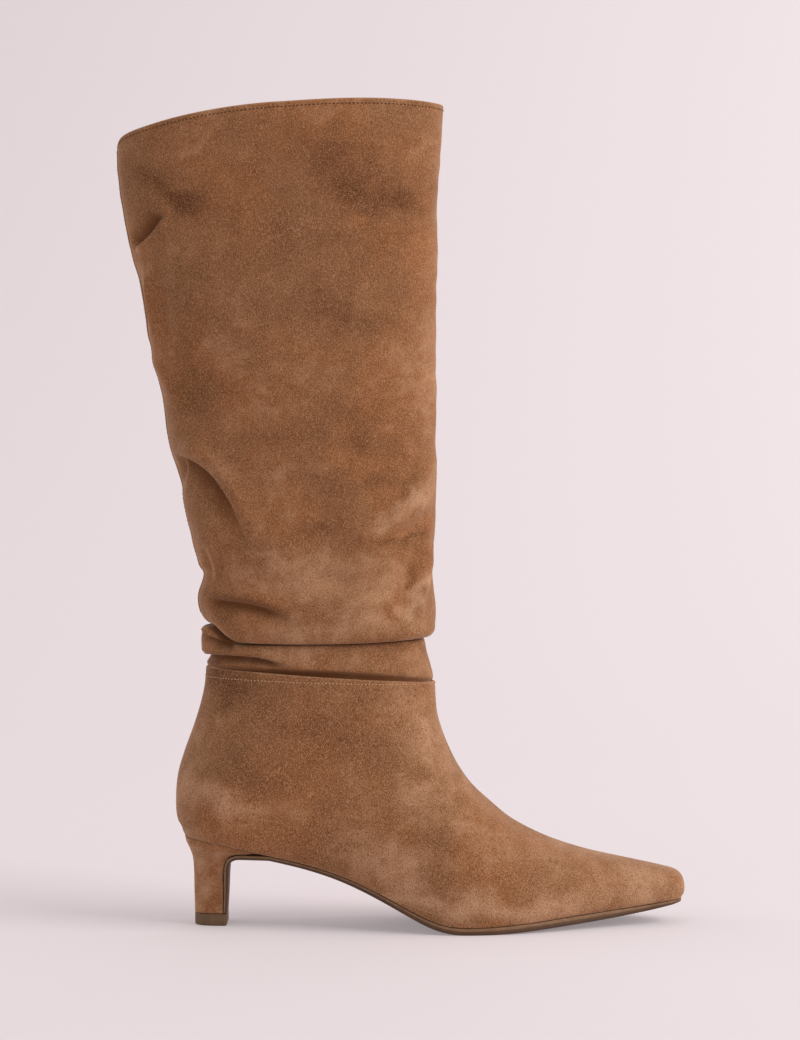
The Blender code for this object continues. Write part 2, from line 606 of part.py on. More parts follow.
def make_insole():
    """The sock and its board, inside the upper and over the sole and heel seat."""
    toe_x, back_x = TOE_X - INSOLE_INSET, BACK_X + INSOLE_INSET
    share = (1 - np.cos(np.linspace(0, math.pi, INSOLE_STATIONS))) / 2
    x = toe_x + (back_x - toe_x) * share
    outline_x = TOE_X + (BACK_X - TOE_X) * share
    rings = []
    profile = (
        (INSOLE_BEVEL, 0.0),
        (0.0, INSOLE_BEVEL),
        (0.0, INSOLE_THICKNESS - INSOLE_BEVEL),
        (INSOLE_BEVEL, INSOLE_THICKNESS),
    )
    for inset, rise in profile:
        away = INSOLE_INSET + inset
        outer = feather_half_width("outer", outline_x)
        inner = feather_half_width("inner", outline_x)
        outer, inner = (half - away * np.tanh(half / away) for half in (outer, inner))
        z = feather_height(x) + rise
        outer_side = np.stack([x, swing(x) - outer, z], axis=-1)
        inner_side = np.stack([x, swing(x) + inner, z], axis=-1)
        rings.append(np.concatenate([outer_side, inner_side[::-1]]))
    return loft("insole", np.array(rings), "sock")


def main():
    for old in list(bpy.data.objects):
        bpy.data.objects.remove(old, do_unlink=True)
    make_upper()
    make_shaft()
    make_outsole()
    make_heel()
    make_heel_tip()
    make_insole()


main()
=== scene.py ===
"""Looks for the suede slouch boot: brushed suede with its folds, stitching, sole, and the photo's studio.

X runs forward from the middle of the heel's tread, Y towards the inner side of the foot, Z up. Tables are in mm.
"""

import math
from collections import namedtuple

import bpy
import numpy as np
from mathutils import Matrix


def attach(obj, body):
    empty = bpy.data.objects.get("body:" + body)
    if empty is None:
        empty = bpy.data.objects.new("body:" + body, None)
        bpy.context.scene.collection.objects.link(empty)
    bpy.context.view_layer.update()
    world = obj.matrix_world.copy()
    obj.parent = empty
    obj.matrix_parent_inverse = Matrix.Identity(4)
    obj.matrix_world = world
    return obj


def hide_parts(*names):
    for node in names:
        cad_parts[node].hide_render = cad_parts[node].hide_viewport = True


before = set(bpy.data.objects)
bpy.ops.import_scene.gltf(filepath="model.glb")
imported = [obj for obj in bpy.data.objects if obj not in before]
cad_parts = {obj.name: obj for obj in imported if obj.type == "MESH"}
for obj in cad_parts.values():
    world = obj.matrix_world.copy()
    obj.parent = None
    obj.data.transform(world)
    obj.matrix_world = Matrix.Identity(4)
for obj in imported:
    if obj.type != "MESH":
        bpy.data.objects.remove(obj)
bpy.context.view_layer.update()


def table(columns, *rows):
    """A table's rows as records with named columns."""
    record = namedtuple("Record", columns)
    return [record(*row) for row in rows]


MM = 0.001

# Camera: where it stands and the lens that frames the boot as the photograph does
CAMERA_X = 101.3
CAMERA_DISTANCE = 1800
CAMERA_HEIGHT = 289
FOCAL_PIXELS = 3366
HORIZON_ROW = 385
PHOTO_HEIGHT = 1040
SENSOR = 36
CAMERA_REACH = 30

# Walls and gaps
GAP = 0.3
UPPER_WALL = 1.8
INSOLE_INSET = 2.9
SOLE_MARGIN = 0.4
SEAT_INSET = 0.3

# The last and the foot part
TOE_SWING = 6.5
SWING_START_X = 112
BACK_X = -14.2
SEAT_ROUND_X = 8
TOE_X = 252.8
TOE_ROUND_X = 238
TOE_SQUARENESS = 3.2
LAST_BOTTOM = table(
    "x z outer inner sole",
    (-14.2, 48.3, 25, 25, 2.5),
    (5, 46, 26.5, 26, 2.5),
    (16, 43.3, 27.3, 26.4, 2.5),
    (30, 40.2, 27, 25, 2.6),
    (50, 35.5, 26.4, 22, 2.6),
    (71, 29, 27.8, 20.2, 3),
    (92, 19.8, 32.6, 21.6, 3.6),
    (110, 10.6, 38.2, 26.6, 3.9),
    (126, 4.5, 42.4, 32.6, 4.7),
    (140, 3.9, 43.4, 37, 4.5),
    (155, 4.5, 42, 38.8, 4.5),
    (172, 5.8, 38.2, 37.4, 4.5),
    (192, 7.7, 31, 32.6, 4.7),
    (213, 9.5, 23, 25.6, 4.4),
    (233, 11.4, 16, 18.4, 3.6),
    (246, 12.9, 12.6, 14, 2.7),
    (252.8, 13.7, 11.4, 12.4, 1.8),
)

# Sections of the foot part, fanned from the toe over the instep to the ankle, and those above the heel seat
FOOT_SECTIONS = table(
    "ridge_x ridge_z base_x outer inner widest top_full base_full",
    (252.8, 13.7, 252.8, 0.5, 0.5, 0.5, 2.4, 2),
    (254.2, 16.6, 252.2, 6.6, 7.2, 0.5, 2.4, 2),
    (254.5, 20.4, 250.6, 9.8, 10.6, 0.5, 2.4, 2),
    (253.1, 25.2, 247.6, 12.4, 13.6, 0.46, 2.4, 2),
    (249.2, 28.3, 243.6, 14.8, 16.4, 0.42, 2.4, 2),
    (242, 30.2, 238, 17.4, 19.4, 0.4, 2.3, 2),
    (231, 32.7, 229.5, 20.2, 22.8, 0.36, 2.2, 2),
    (217, 35.7, 216, 24.8, 27.6, 0.32, 2.1, 2),
    (202, 39.2, 201, 30.4, 32.8, 0.28, 2, 2),
    (187, 43.9, 186.5, 36, 37, 0.25, 1.95, 2),
    (173.5, 49.6, 172, 41, 40.2, 0.23, 1.9, 2),
    (160.6, 56.9, 157.5, 44.4, 41.8, 0.22, 1.9, 2),
    (150, 65.6, 143, 46, 40.8, 0.22, 1.9, 2),
    (141.2, 74, 128, 45.2, 37.8, 0.22, 1.9, 2),
    (134, 83.7, 111, 42, 34.6, 0.24, 1.9, 2),
    (128.6, 93, 92, 38.4, 32.6, 0.28, 1.9, 2),
    (124.9, 101.4, 71, 35.6, 31.6, 0.34, 1.95, 2.1),
    (122.4, 109, 48, 33.8, 31.4, 0.38, 2, 2.2),
    (121.1, 115, 23, 33, 31.6, 0.4, 2, 2.4),
    (120.6, 119.5, -2, 32.8, 31.8, 0.42, 2, 2.5),
    (120.4, 122.5, -14.2, 32.6, 31.8, 0.43, 2, 2.5),
)
BACK_SECTIONS = table(
    "ridge_x ridge_z back_x back_z outer inner widest base_outer base_inner base_full round_x",
    (120.4, 122.5, -14.2, 48.3, 32.6, 31.8, 0.43, 25, 25, 2.5, 8),
    (120.3, 124.6, -17.9, 56.4, 32.4, 31.7, 0.44, 26.5, 26.3, 2.5, 10),
    (120.2, 126, -19, 68, 32, 31.4, 0.45, 27.6, 27.3, 2.4, 14),
    (120.2, 127.2, -18.2, 81, 31.2, 30.8, 0.46, 28.2, 27.8, 2.3, 21),
    (120.1, 128.2, -14.6, 94, 30.4, 30, 0.47, 28.6, 28.2, 2.2, 30),
    (120.1, 128.9, -9.6, 107.3, 29.9, 29.5, 0.48, 29, 28.6, 2.1, 40),
    (120.1, 129.4, -5.6, 119, 29.6, 29.2, 0.49, 29.3, 28.8, 2, 50),
    (120.1, 129.7, -3.4, 129, 29.5, 29, 0.5, 29.5, 29, 2, 57),
    (120.1, 129.9, -2.6, 138.2, 29.5, 29, 0.5, 29.5, 29, 2, 58.7),
)

# Rings of the shaft from its tucked end to the collar: back and front points, the height at both sides, half
# widths, how much higher the ring lies close to the back than its smooth run would, how far its back corner
# drops, and how far inside it the lining lies, where the lining follows it
SHAFT_RINGS = table(
    "place back_x back_z front_x front_z side_z outer inner lift corner lining",
    ("tucked end", 0.2, 127.2, 117.3, 118.9, 123.1, 26.7, 26.2, 0, 0, 1.7),
    ("under the ankle edge", 0.2, 137, 117.3, 128.9, 133.1, 26.7, 26.2, 0, 0, 1.7),
    ("over the ankle edge", -0.4, 138.4, 118, 130.6, 136.3, 26.6, 26.1, 0, 0, None),
    ("band foot", -2.2, 140.2, 119, 132.6, 138.3, 28.9, 28.4, 0, 0, 4.4),
    ("band", -2.2, 144.6, 117.6, 139.6, 143, 29.4, 28.9, 0, 0, None),
    ("band lobe", -5.6, 149.6, 115.6, 146.6, 147.6, 29, 28.5, 4.2, 0, None),
    ("band top", -4, 151.8, 114.2, 153.2, 151.4, 27.8, 27.3, 8.2, 0, None),
    ("tuck", 2.8, 153.2, 110.6, 156.2, 153.8, 24.4, 23.9, 8.2, 0, 1.9),
    ("lip, inner turn", 0.8, 153.6, 114.6, 154.8, 152.6, 28.2, 27.7, 8.3, 0, None),
    ("lip, bottom", -1.4, 153.8, 117.2, 154.9, 152.4, 30.2, 29.7, 8.6, 0, None),
    ("lip, outer turn", -3.4, 155.6, 119, 156.4, 153.6, 31.6, 31.1, 8.6, 0, None),
    ("skirt roll", -5.5, 162, 120.3, 162.6, 160.2, 32.8, 32.2, 7.4, 0, None),
    ("skirt", -5.8, 172.6, 120.6, 172.3, 170.8, 32.8, 32.2, 5.2, 0, 7.5),
    ("back notch", -2.9, 183.6, 119.4, 182, 180.8, 32.3, 31.7, 3.8, 0, None),
    ("above the notch", -6.3, 194.2, 118, 196.8, 194.8, 31.8, 31.2, 0, 0, 7.5),
    ("lower calf", -10.4, 212, 120.2, 211.8, 210.8, 31.3, 30.8, 0, 0, 8),
    ("calf hollow", -13.4, 231.5, 120.6, 232.8, 231.8, 31, 30.5, 0, 0, 8.5),
    ("under the ridge", -20.6, 254.5, 120.6, 258.6, 257.6, 31.2, 30.7, 0, 0, 7),
    ("calf", -25.8, 285.5, 120.6, 290.5, 288.5, 31.6, 31.1, 0, 0, 4),
    ("upper calf", -33.4, 320.5, 120.4, 324.5, 323.5, 32, 31.5, 0, 0, 4),
    ("below the dent", -39.9, 354.5, 121.2, 358.5, 358.5, 32, 31.5, 0, 0, 7),
    ("dent", -44.8, 375.5, 121.4, 382.5, 382.5, 31.6, 31.1, 0, 0, 6),
    ("leg opening", -48.4, 399, 123, 408, 408.5, 31.2, 30.7, 0, 0, 3),
    ("collar", -49.4, 419.2, 124.4, 436.6, 436.4, 31, 30.5, 0, 3.2, 1.7),
)
LEG_FULLNESS = 2.35
LIFT_REACH = math.radians(50)
LIFT_EDGE = math.radians(31)
CORNER_TURN = math.radians(12.5)

# Soft troughs and ridges of the shaft in its side view. A negative depth stands out.
OUTER = -1
INNER = 1
CREASES = table(
    "place side start bend end depth width",
    ("curved mark under the collar", OUTER, (-11, 427), (-8, 421), (-12, 415), 0.8, 1.8),
    ("smudged hollow by the dent", OUTER, (-22, 392), (-14, 380), (0, 378), 2.8, 6.5),
    ("upright ridge", OUTER, (-33, 352), (-33, 336), (-29, 316), -2.4, 2),
    ("hollow behind the upright ridge", OUTER, (-38, 352), (-37, 336), (-33, 318), 1.4, 2.2),
    ("seam pucker", OUTER, (-15.5, 251), (-14.8, 243), (-13.2, 234), 1.7, 1.4),
    ("hollow beside the upright ridge", OUTER, (-26, 350), (-25, 330), (-20, 306), 2.6, 5),
    ("slanting ridge", OUTER, (-31, 304), (-26, 298), (-19, 284), -1.6, 2.8),
    ("back hollow", OUTER, (-18, 296), (-10, 284), (-4, 272), 2.8, 6),
    ("ridge over the long fold", OUTER, (-22, 262), (4, 258), (24, 224), -1.8, 8),
    ("ridge run-out", OUTER, (16, 222), (28, 206), (36, 190), -1.2, 8),
    ("panel swell", OUTER, (-14, 234), (-4, 218), (2, 204), -2.2, 6.5),
    ("first tick", OUTER, (-3, 202), (0, 194), (1, 186), 1.7, 1.9),
    ("ridge between the ticks", OUTER, (0, 204), (4, 196), (4, 187), -1.1, 1.7),
    ("second tick", OUTER, (4, 204), (8, 196), (6, 186), 1.5, 2.2),
    ("third tick", OUTER, (10, 200), (13, 192), (10, 183), 1.2, 2.2),
    ("front notch", OUTER, (125, 379), (112, 376), (92, 386), 2.4, 5),
    ("upper front hollow", OUTER, (104, 396), (92, 386), (76, 372), 3, 7),
    ("front swell", OUTER, (112, 362), (98, 352), (80, 352), -1.4, 9),
    ("hollow over the middle", OUTER, (96, 330), (78, 318), (60, 320), 1.4, 8),
    ("slanting front ridge", OUTER, (118, 248), (110, 236), (98, 218), -3.4, 4),
    ("hollow above the front ridge", OUTER, (106, 258), (94, 244), (78, 236), 3.6, 7),
    ("hollow under the front ridge", OUTER, (121, 224), (112, 214), (98, 206), 3.8, 4.5),
    ("front upright ridge", OUTER, (118.5, 202), (114, 186), (110.5, 164), -2.6, 2.4),
    ("hollow behind the upright", OUTER, (111, 204), (106, 188), (104, 168), 3.6, 4),
    ("middle hollow", OUTER, (84, 206), (70, 199), (52, 198), 3, 8),
    ("soft swell above the lip", OUTER, (40, 178), (60, 172), (92, 176), -1.2, 7),
    ("hollow above the swell", OUTER, (56, 186), (70, 183), (84, 184), 1.3, 4),
    ("inner ridge", INNER, (-16, 268), (10, 258), (30, 226), -2.6, 8),
    ("inner dent", INNER, (-34, 346), (-24, 354), (-10, 372), 2.8, 8),
    ("inner upper hollow", INNER, (110, 360), (98, 352), (70, 356), 2.2, 8),
    ("inner front ridge", INNER, (112, 246), (98, 236), (72, 230), -2.2, 6),
    ("inner upright", INNER, (112, 204), (108, 186), (108, 168), -1.5, 2.8),
    ("inner middle hollow", INNER, (30, 196), (50, 190), (74, 194), 2.2, 7),
    ("inner ticks", INNER, (0, 204), (4, 194), (2, 184), 1.3, 2.2),
)
CREASE_END_FADE = 0.12
CREASE_STEPS = 15

# Sharp folds of the slack suede, on the skirt over the main lip or on the band under it. Seen along its path,
# the roll on its left hangs over the crease line by overhang. The suede sinks in over the distances above and
# below.
SKIRT = 1
BAND = 0
FOLDS = table(
    "place side layer depth roll reach above below overhang start_fade end_fade path",
    ("long curved fold", OUTER, SKIRT, 4.8, 2.4, 10, 0.9, 7, 1, 0.2, 0.5,
     ((-19, 252), (-9, 249), (1, 242), (9, 231), (16, 217), (25, 198))),
    ("dent at the upper back", OUTER, SKIRT, 4.2, 1.4, 6, 0.9, 7, 0.9, 0.25, 0.2,
     ((-22, 380.5), (-26, 374.5), (-31, 368.5), (-36, 364.5), (-41, 361.5))),
    ("skirt fold", OUTER, SKIRT, 3.1, 1.5, 8, 2.2, 4.6, 0.5, 0.2, 0.45,
     ((-4, 175), (8, 174.6), (20, 173.4), (31, 170.8), (40, 166.6), (48, 160))),
    ("wedge fold", OUTER, BAND, 3, 0.9, 4, 0.9, 3.2, 1, 0.15, 0.1,
     ((-7, 157.6), (-2, 156.2), (3, 154.6), (8, 153.2), (15, 151.8))),
    ("lobe crease", OUTER, BAND, 3.3, 1.3, 5, 1, 3.4, 1.3, 0.05, 0.35,
     ((-8, 145.4), (8, 145.9), (20, 145.6), (29, 144.5), (36, 142.2), (46, 138.6))),
    ("inner long fold", INNER, SKIRT, 3.4, 2, 10, 1.2, 8, 0.8, 0.3, 0.45,
     ((112, 254), (104, 250), (90, 240), (76, 226), (64, 210))),
    ("inner back fold", INNER, SKIRT, 3.4, 2, 9, 1.2, 7, 0.8, 0.25, 0.45,
     ((-12, 236), (-2, 232), (10, 222), (20, 208), (26, 194))),
    ("inner skirt fold", INNER, SKIRT, 2.4, 1.2, 7, 1.6, 4.6, 0.8, 0.25, 0.45,
     ((-3, 178), (10, 176), (24, 173), (38, 167), (46, 160))),
    ("inner front fold", INNER, SKIRT, 2.4, 1.2, 7, 1.6, 4.6, 0.8, 0.4, 0.3,
     ((60, 164), (74, 171), (88, 175), (102, 176.5), (112, 177))),
    ("inner lobe crease", INNER, BAND, 2.4, 1, 5, 0.9, 3.4, 1.8, 0.02, 0.4,
     ((-8, 146.4), (14, 146.6), (34, 145), (52, 142.4), (68, 139))),
)
ROLL_MIDDLE = 0.45
OVERHANG_RISE = 1.5
OVERHANG_REACH = 0.6
SHADE_MARGIN = 0.6
FOLD_PATH_POINTS = 60
SIDE_BLEND = 24

# Unevenness of the suede, of its brushed nap and of where the light and dark marks lie: strength, distance
# between swells, and seed
LEG_UNEVENNESS = ((0.55, 46, 4), (0.22, 17, 9))
FOOT_UNEVENNESS = ((0.5, 40, 31),)
HEEL_MOTTLE = ((0.35, 16, 41),)
MARK_WARP_X = ((6, 34, 21), (2.5, 13, 26))
MARK_WARP_Z = ((6, 30, 22), (2.5, 12, 27))
INNER_MOTTLE = ((0.25, 52, 23), (0.15, 26, 24))
FINE_MOTTLE = ((0.10, 12, 25),)
SWELL_WAVES = 9
# The heights over which the leg and the foot are uneven, and how firmly the collar holds its form
SLACK_Z = 150
COLLAR_Z = 400
SLACK_BLEND = 30
FIRM_COLLAR = 0.7
CREASES_Z = 140
CREASES_BLEND = 12
FOOT_SLACK_Z = 50
FOOT_SLACK_BLEND = 30
FOOT_FIRM_Z = 125
FOOT_FIRM_BLEND = 20

# Slices of the heel, and the sole's flap down the breast
HEEL_SLICES = table(
    "front_x front_z back_x back_z outer inner full",
    (27, 40.3, -14.2, 47.9, 26.6, 24.8, 3),
    (19, 40.2, -13.2, 45.2, 25, 24, 3),
    (12.8, 39.4, -12, 42.6, 22, 21.6, 3),
    (9.2, 36.6, -10.8, 39.6, 18.4, 18.2, 2.9),
    (7.6, 32.2, -9.8, 35.6, 14.6, 14.6, 2.8),
    (7, 27, -9.3, 29.5, 12.2, 12.2, 2.8),
    (6.9, 18, -9.1, 18.5, 11, 11, 2.8),
    (6.4, 6.7, -8.8, 6.7, 10.6, 10.6, 2.8),
)
BREAST_FLAP = table(
    "x z thick_x thick_z outer inner",
    (19, 37.4, 0, 2.4, 26, 25),
    (14.6, 37.1, -0.8, 2.2, 24, 23.4),
    (11.6, 35.4, -1.7, 1.6, 20.6, 20.4),
    (10.1, 32.2, -2.1, 0.6, 16.6, 16.6),
    (9.6, 27, -2.2, 0.1, 13.4, 13.4),
    (9.3, 18, -2, 0, 11.2, 11.2),
    (8.7, 6.7, -1.9, 0, 10.4, 10.4),
)
TIP_BACK_X = -8.8
TIP_FRONT_X = 8.7
TIP_HALF_WIDTH = 10.8
TIP_FULLNESS = 2.8

# Lighter and darker marks in the side view, partly brushed nap and partly painted highlights on ridges, edges
# and the bottom and painted shade in hollows and under folds: place, half lengths along and across, turn, tone
NAP_AND_LIGHT_MARKS = table(
    "x z long wide turn tone",
    (-36, 396, 14, 22, 0, -0.35), (-13, 384, 13, 6, -18, -0.8), (-25, 391, 12, 6, -30, -0.6),
    (70, 408, 22, 12, -20, -0.45), (86, 386, 26, 10, -25, -0.65), (108, 386, 14, 18, 0, -0.38),
    (62, 364, 24, 8, -5, -0.35), (38, 390, 40, 12, 0, -0.18), (38, 345, 66, 60, 0, -0.13),
    (42, 334, 36, 12, 0, -0.12), (20, 330, 22, 12, 30, 0.2), (-14, 318, 9, 22, 8, -0.3),
    (76, 322, 20, 9, -15, -0.45), (112, 300, 10, 34, 0, 0.22), (-4, 286, 14, 12, 0, -0.35),
    (34, 300, 26, 10, 0, 0.1), (84, 262, 22, 10, -35, -0.5), (40, 262, 30, 9, 0, -0.25),
    (103, 224, 18, 5.5, 50, 0.5), (84, 239, 24, 5, 2, -0.5), (62, 216, 18, 9, 30, -0.45),
    (101, 206.5, 18, 3.6, 4, -0.65), (113, 176, 18, 5, 81, 0.65), (105, 186, 16, 4, 83, -0.35),
    (46, 188, 30, 12, 0, 0.22), (96, 182, 14, 10, 20, 0.3), (12, 172, 18, 4.5, -4, -0.55),
    (64, 164, 40, 7, 0, 0.14), (90, 166, 16, 8, 0, 0.3), (100, 148, 16, 3.4, -8, -0.5),
    (60, 152, 48, 10, 0, 0.14), (12, 128, 20, 9, -15, -0.7), (-8, 133, 14, 10, 0, -1),
    (46, 112, 26, 16, 0, -0.45), (-2, 88, 10, 28, 0, 0.18), (24, 84, 24, 9, -30, -0.45),
    (16, 68, 26, 10, -15, 0.42), (64, 86, 26, 18, 10, -0.15), (60, 122, 50, 10, 0, 0.12),
    (52, 48, 22, 8, -15, -0.3), (80, 104, 16, 15, 10, -0.42), (114, 100, 20, 9, -52, 0.3),
    (104, 66, 26, 9, -20, 0.2), (98, 38, 28, 10, -15, 0.55), (142, 15, 66, 8, -4, 0.55),
    (118, 44, 26, 9, -10, -0.3), (150, 50, 30, 8, -35, 0.2), (158, 30, 24, 8, -10, -0.12),
    (206, 30, 30, 9, -12, 0.16), (236, 20, 18, 9, 0, 0.4),
)
MARK_STRENGTH = 1.35

# Colours
SUEDE_BASE = (0.242, 0.093, 0.033)
SUEDE_LIGHT = (0.508, 0.286, 0.162)
SUEDE_DARK = (0.106, 0.033, 0.007)
SUEDE_WARM = (0.310, 0.115, 0.035)
SUEDE_COOL = (0.215, 0.125, 0.064)
SHEEN_TINT = (0.95, 0.72, 0.52)
THREAD_COLOUR = (0.52, 0.32, 0.18)
THREAD_DARK = (0.088, 0.040, 0.018)
LINING_COLOUR = (0.40, 0.26, 0.16)
SOLE_DARK = (0.085, 0.042, 0.022)
SOLE_LIGHT = (0.25, 0.137, 0.072)
SOLE_WORN = (0.36, 0.27, 0.19)
TIP_COLOUR = (0.135, 0.068, 0.026)
TIP_FLECKS = (0.26, 0.17, 0.10)
FLOOR_COLOUR = (0.515, 0.468, 0.480)
GLOW_COLOUR = (1.0, 0.905, 0.93)
ROOM_COLOUR = (1.0, 0.965, 0.975)
FAR_ROOM = (0.47, 0.43, 0.445)

# The three suedes: how fine and how strong their grain is, and how fine their cloudy patches
SUEDES = table(
    "piece grain_scale grain_contrast patch_scale",
    ("leg", 2400, 0.68, 42), ("foot", 2300, 0.78, 46), ("heel", 2400, 0.60, 80),
)

# The studio, in metres and watts
ROOM_LIGHT = 0.40
BACKDROP_GLOW = 0.25
BACKDROP_HALF = 12
BACKDROP_FLOOR = (-12, -2, 0)
BACKDROP_BEHIND = 3.4
BACKDROP_BEND = 2.6
BACKDROP_TOP = 7
BACKDROP_STEPS = 24
SOFTBOXES = table(
    "name place target size power colour",
    ("key", (2.5, -0.95, 1.6), (0.1, 0, 0.2), (2.0, 2.0), 84, (1.0, 0.975, 0.955)),
    ("fill", (-1.5, -2.0, 0.8), (0.1, 0, 0.1), (2.0, 2.0), 9, (1.0, 0.97, 0.98)),
    ("rim", (-2.2, 0.4, 1.2), (0, 0, 0.25), (1.4, 1.4), 13, (1.0, 0.98, 0.96)),
    ("top", (0.3, 0.3, 2.6), (0.1, 0, 0.2), (2.2, 2.2), 7, (1.0, 0.98, 0.98)),
    ("wall", (2.3, 0.9, 2.4), (2.0, 3.4, 1.2), (1.8, 1.8), 48, (1.0, 0.98, 0.99)),
)

# How finely each surface is cut
FOOT_OPEN_ROWS = 92
FOOT_SEAT_ROWS = 26
SEAT_SECTION = 16
FOOT_CLOSED_ROWS = 56
CLOSED_ROW_BIAS = 1.6
FOOT_LOW_COLUMNS = 34
FOOT_HIGH_COLUMNS = 56
FOOT_SMOOTHING = 2
LINING_SMOOTHING = 12
LINING_SKIP = 3
SHAFT_COLUMNS = 320
SHAFT_ROW_SPACING = table(
    "place step", ("tucked end", 0.85), ("above the notch", 1.05), ("under the ridge", 1.6)
)
LINING_COLUMNS = 96
LINING_ROWS = 80
RIM_STEPS = 8
HEEL_SIDE_COLUMNS = 30
HEEL_CORNER_POINTS = 7
HEEL_ROWS = 70
HEEL_ROW_BIAS = 0.9
BREAST_POINTS = 6
SOLE_STEP = 1.5
SOLE_TOE = 8
SOLE_TOE_ROWS = 16
TREAD_POINTS = 5
LID_POINTS = 3
FLAP_ROWS = 44
FLAP_START_X = 31
SOCK_ROWS = 90
SOCK_LANES = 9

# Edges, seams and stitching
COLLAR_THICKNESS = 2.2
COLLAR_FACING = 9
COLLAR_STITCH_DROP = 1.8
ANKLE_THICKNESS = 1.7
ANKLE_FACING = 7
ANKLE_STITCH_DROP = 1.9
FACING_RINGS = (0.2, 0.6, 1.0)
FEATHER_TURN = 1.6
EDGE_NAP = 0.25
STRIP_NAP = -0.1
HEEL_NAP = 0.25
SEAM_WIDTH = 0.55
SEAM_DEPTH = 0.4
STRIP_PROFILE = (-0.3, 0.48, 0.60, 0.62, 0.60, 0.48, -0.3)
STRIP_TAPER = 5
LINING_THICKNESS = 0.7
LINING_DROP = 1
COLLAR_STITCH, ANKLE_STITCH, STRIP_STITCH = table(
    "pitch length width rise", (2.1, 1.6, 0.66, 0.2), (1.9, 1.3, 0.62, 0.32), (2.4, 1.6, 0.34, 0.04)
)
STITCH_SIDES = 6
STITCH_RINGS = 5
STITCH_END = 0.02
STITCH_BED = 0.35
HEEL_CORNER = 1
TIP_PROFILE = ((0, 0.7), (0.15, 0.3), (0.6, 0.05), (1.2, 0), (5.4, 0), (6.1, 0.06), (6.4, 0.35))
SOCK_PROFILE = ((0.6, 0), (0, 0.6), (0, 1.6), (0.6, 2.2))
# The sole's edge in section: how high each point lies, as a share of the edge, and how far it is set in
SOLE_PROFILE = (
    (1, 0.5), (0.95, 0.12), (0.86, 0), (0.64, 0), (0.58, 0.2), (0.52, 0.02), (0.24, 0.05), (0.08, 0.4), (0, 0.9)
)
LIP_INSET_LIMIT = 0.6
TREAD_ROLL = 10
FEATHER_SOFTENING = 8
SOFTENING_SHARES = (-1.0, -0.67, -0.33, 0.0, 0.33, 0.67, 1.0)

join = np.concatenate


def through(knots, values, at):
    """A smooth curve through the rows of a table: cubics whose slopes come from the neighbouring rows."""
    knots, values, at = (np.asarray(part, float) for part in (knots, values, at))
    slopes = np.gradient(values, knots, axis=0)
    first = np.clip(np.searchsorted(knots, at, side="right") - 1, 0, len(knots) - 2)
    span = knots[first + 1] - knots[first]
    t = (at - knots[first]) / span
    shape = t.shape + (1,) * (values.ndim - 1)
    t, span = t.reshape(shape), span.reshape(shape)
    return (
        (2 * t**3 - 3 * t**2 + 1) * values[first]
        + (t**3 - 2 * t**2 + t) * span * slopes[first]
        + (3 * t**2 - 2 * t**3) * values[first + 1]
        + (t**3 - t**2) * span * slopes[first + 1]
    )


def smooth_step(t):
    t = np.clip(t, 0.0, 1.0)
    return t * t * (3 - 2 * t)


def unit(vectors):
    return vectors / np.maximum(np.linalg.norm(vectors, axis=-1, keepdims=True), 1e-9)


def level(vectors):
    return unit(vectors * (1, 1, 0))


def quarter_turn(count):
    return np.linspace(0, math.pi / 2, count)


def full_turn(count):
    return np.linspace(0, 2 * math.pi, count, endpoint=False)


def unevenness(points, swells):
    """Smooth random unevenness, a sum of swells with their strengths, distances in millimetres and seeds."""
    total = 0
    for strength, size, seed in swells:
        draw = np.random.default_rng(seed)
        waves = np.zeros(points.shape[:-1])
        for _ in range(SWELL_WAVES):
            direction = draw.normal(size=3)
            direction *= draw.uniform(0.6, 1.5) * 2 * math.pi / (size * np.linalg.norm(direction))
            waves += np.cos(points @ direction + draw.uniform(0, 2 * math.pi))
        total = total + strength * (waves / math.sqrt(2 * SWELL_WAVES))
    return total


# The foot's form


def swing(x):
    """How far the foot's middle line lies towards the inner side, growing to the toe."""
    return TOE_SWING * smooth_step((np.asarray(x, float) - SWING_START_X) / (TOE_X - SWING_START_X))


def last_value(column, x):
    return through([row.x for row in LAST_BOTTOM], [getattr(row, column) for row in LAST_BOTTOM], x)


def feather_height(x):
    """The height of the last's edge, averaged over a short stretch so that its bends are round."""
    x = np.asarray(x, float)
    room = np.clip(np.minimum(x - BACK_X, TOE_X - x), 0.0, FEATHER_SOFTENING)
    return np.mean([last_value("z", x + share * room) for share in SOFTENING_SHARES], axis=0)


def seat_rounding(x, back_x, round_x):
    """How much of its width the foot keeps at x, as it turns in towards its back."""
    return np.sqrt(1 - np.clip((round_x - x) / (round_x - back_x), 0.0, 1.0) ** 2)


def toe_squaring(x):
    """How much of its width the last's bottom keeps at x, as it turns in towards the tip of the toe."""
    toe = np.clip((x - TOE_ROUND_X) / (TOE_X - TOE_ROUND_X), 0.0, 1.0)
    return (1 - toe**TOE_SQUARENESS) ** (1 / TOE_SQUARENESS)


def base_halves(x):
    """The last's outer and inner half widths at x, before it turns in at the back."""
    return [last_value(side, x) * toe_squaring(x) for side in ("outer", "inner")]


def feather_halves(x):
    """The outer and inner half widths of the edge where the upper meets the sole."""
    return [half * seat_rounding(x, BACK_X, SEAT_ROUND_X) for half in base_halves(x)]


def back_contour(z):
    """The foot's back edge in its side view."""
    heights = [row.back_z for row in BACK_SECTIONS]
    return through(heights, [row.back_x for row in BACK_SECTIONS], np.maximum(z, heights[0]))


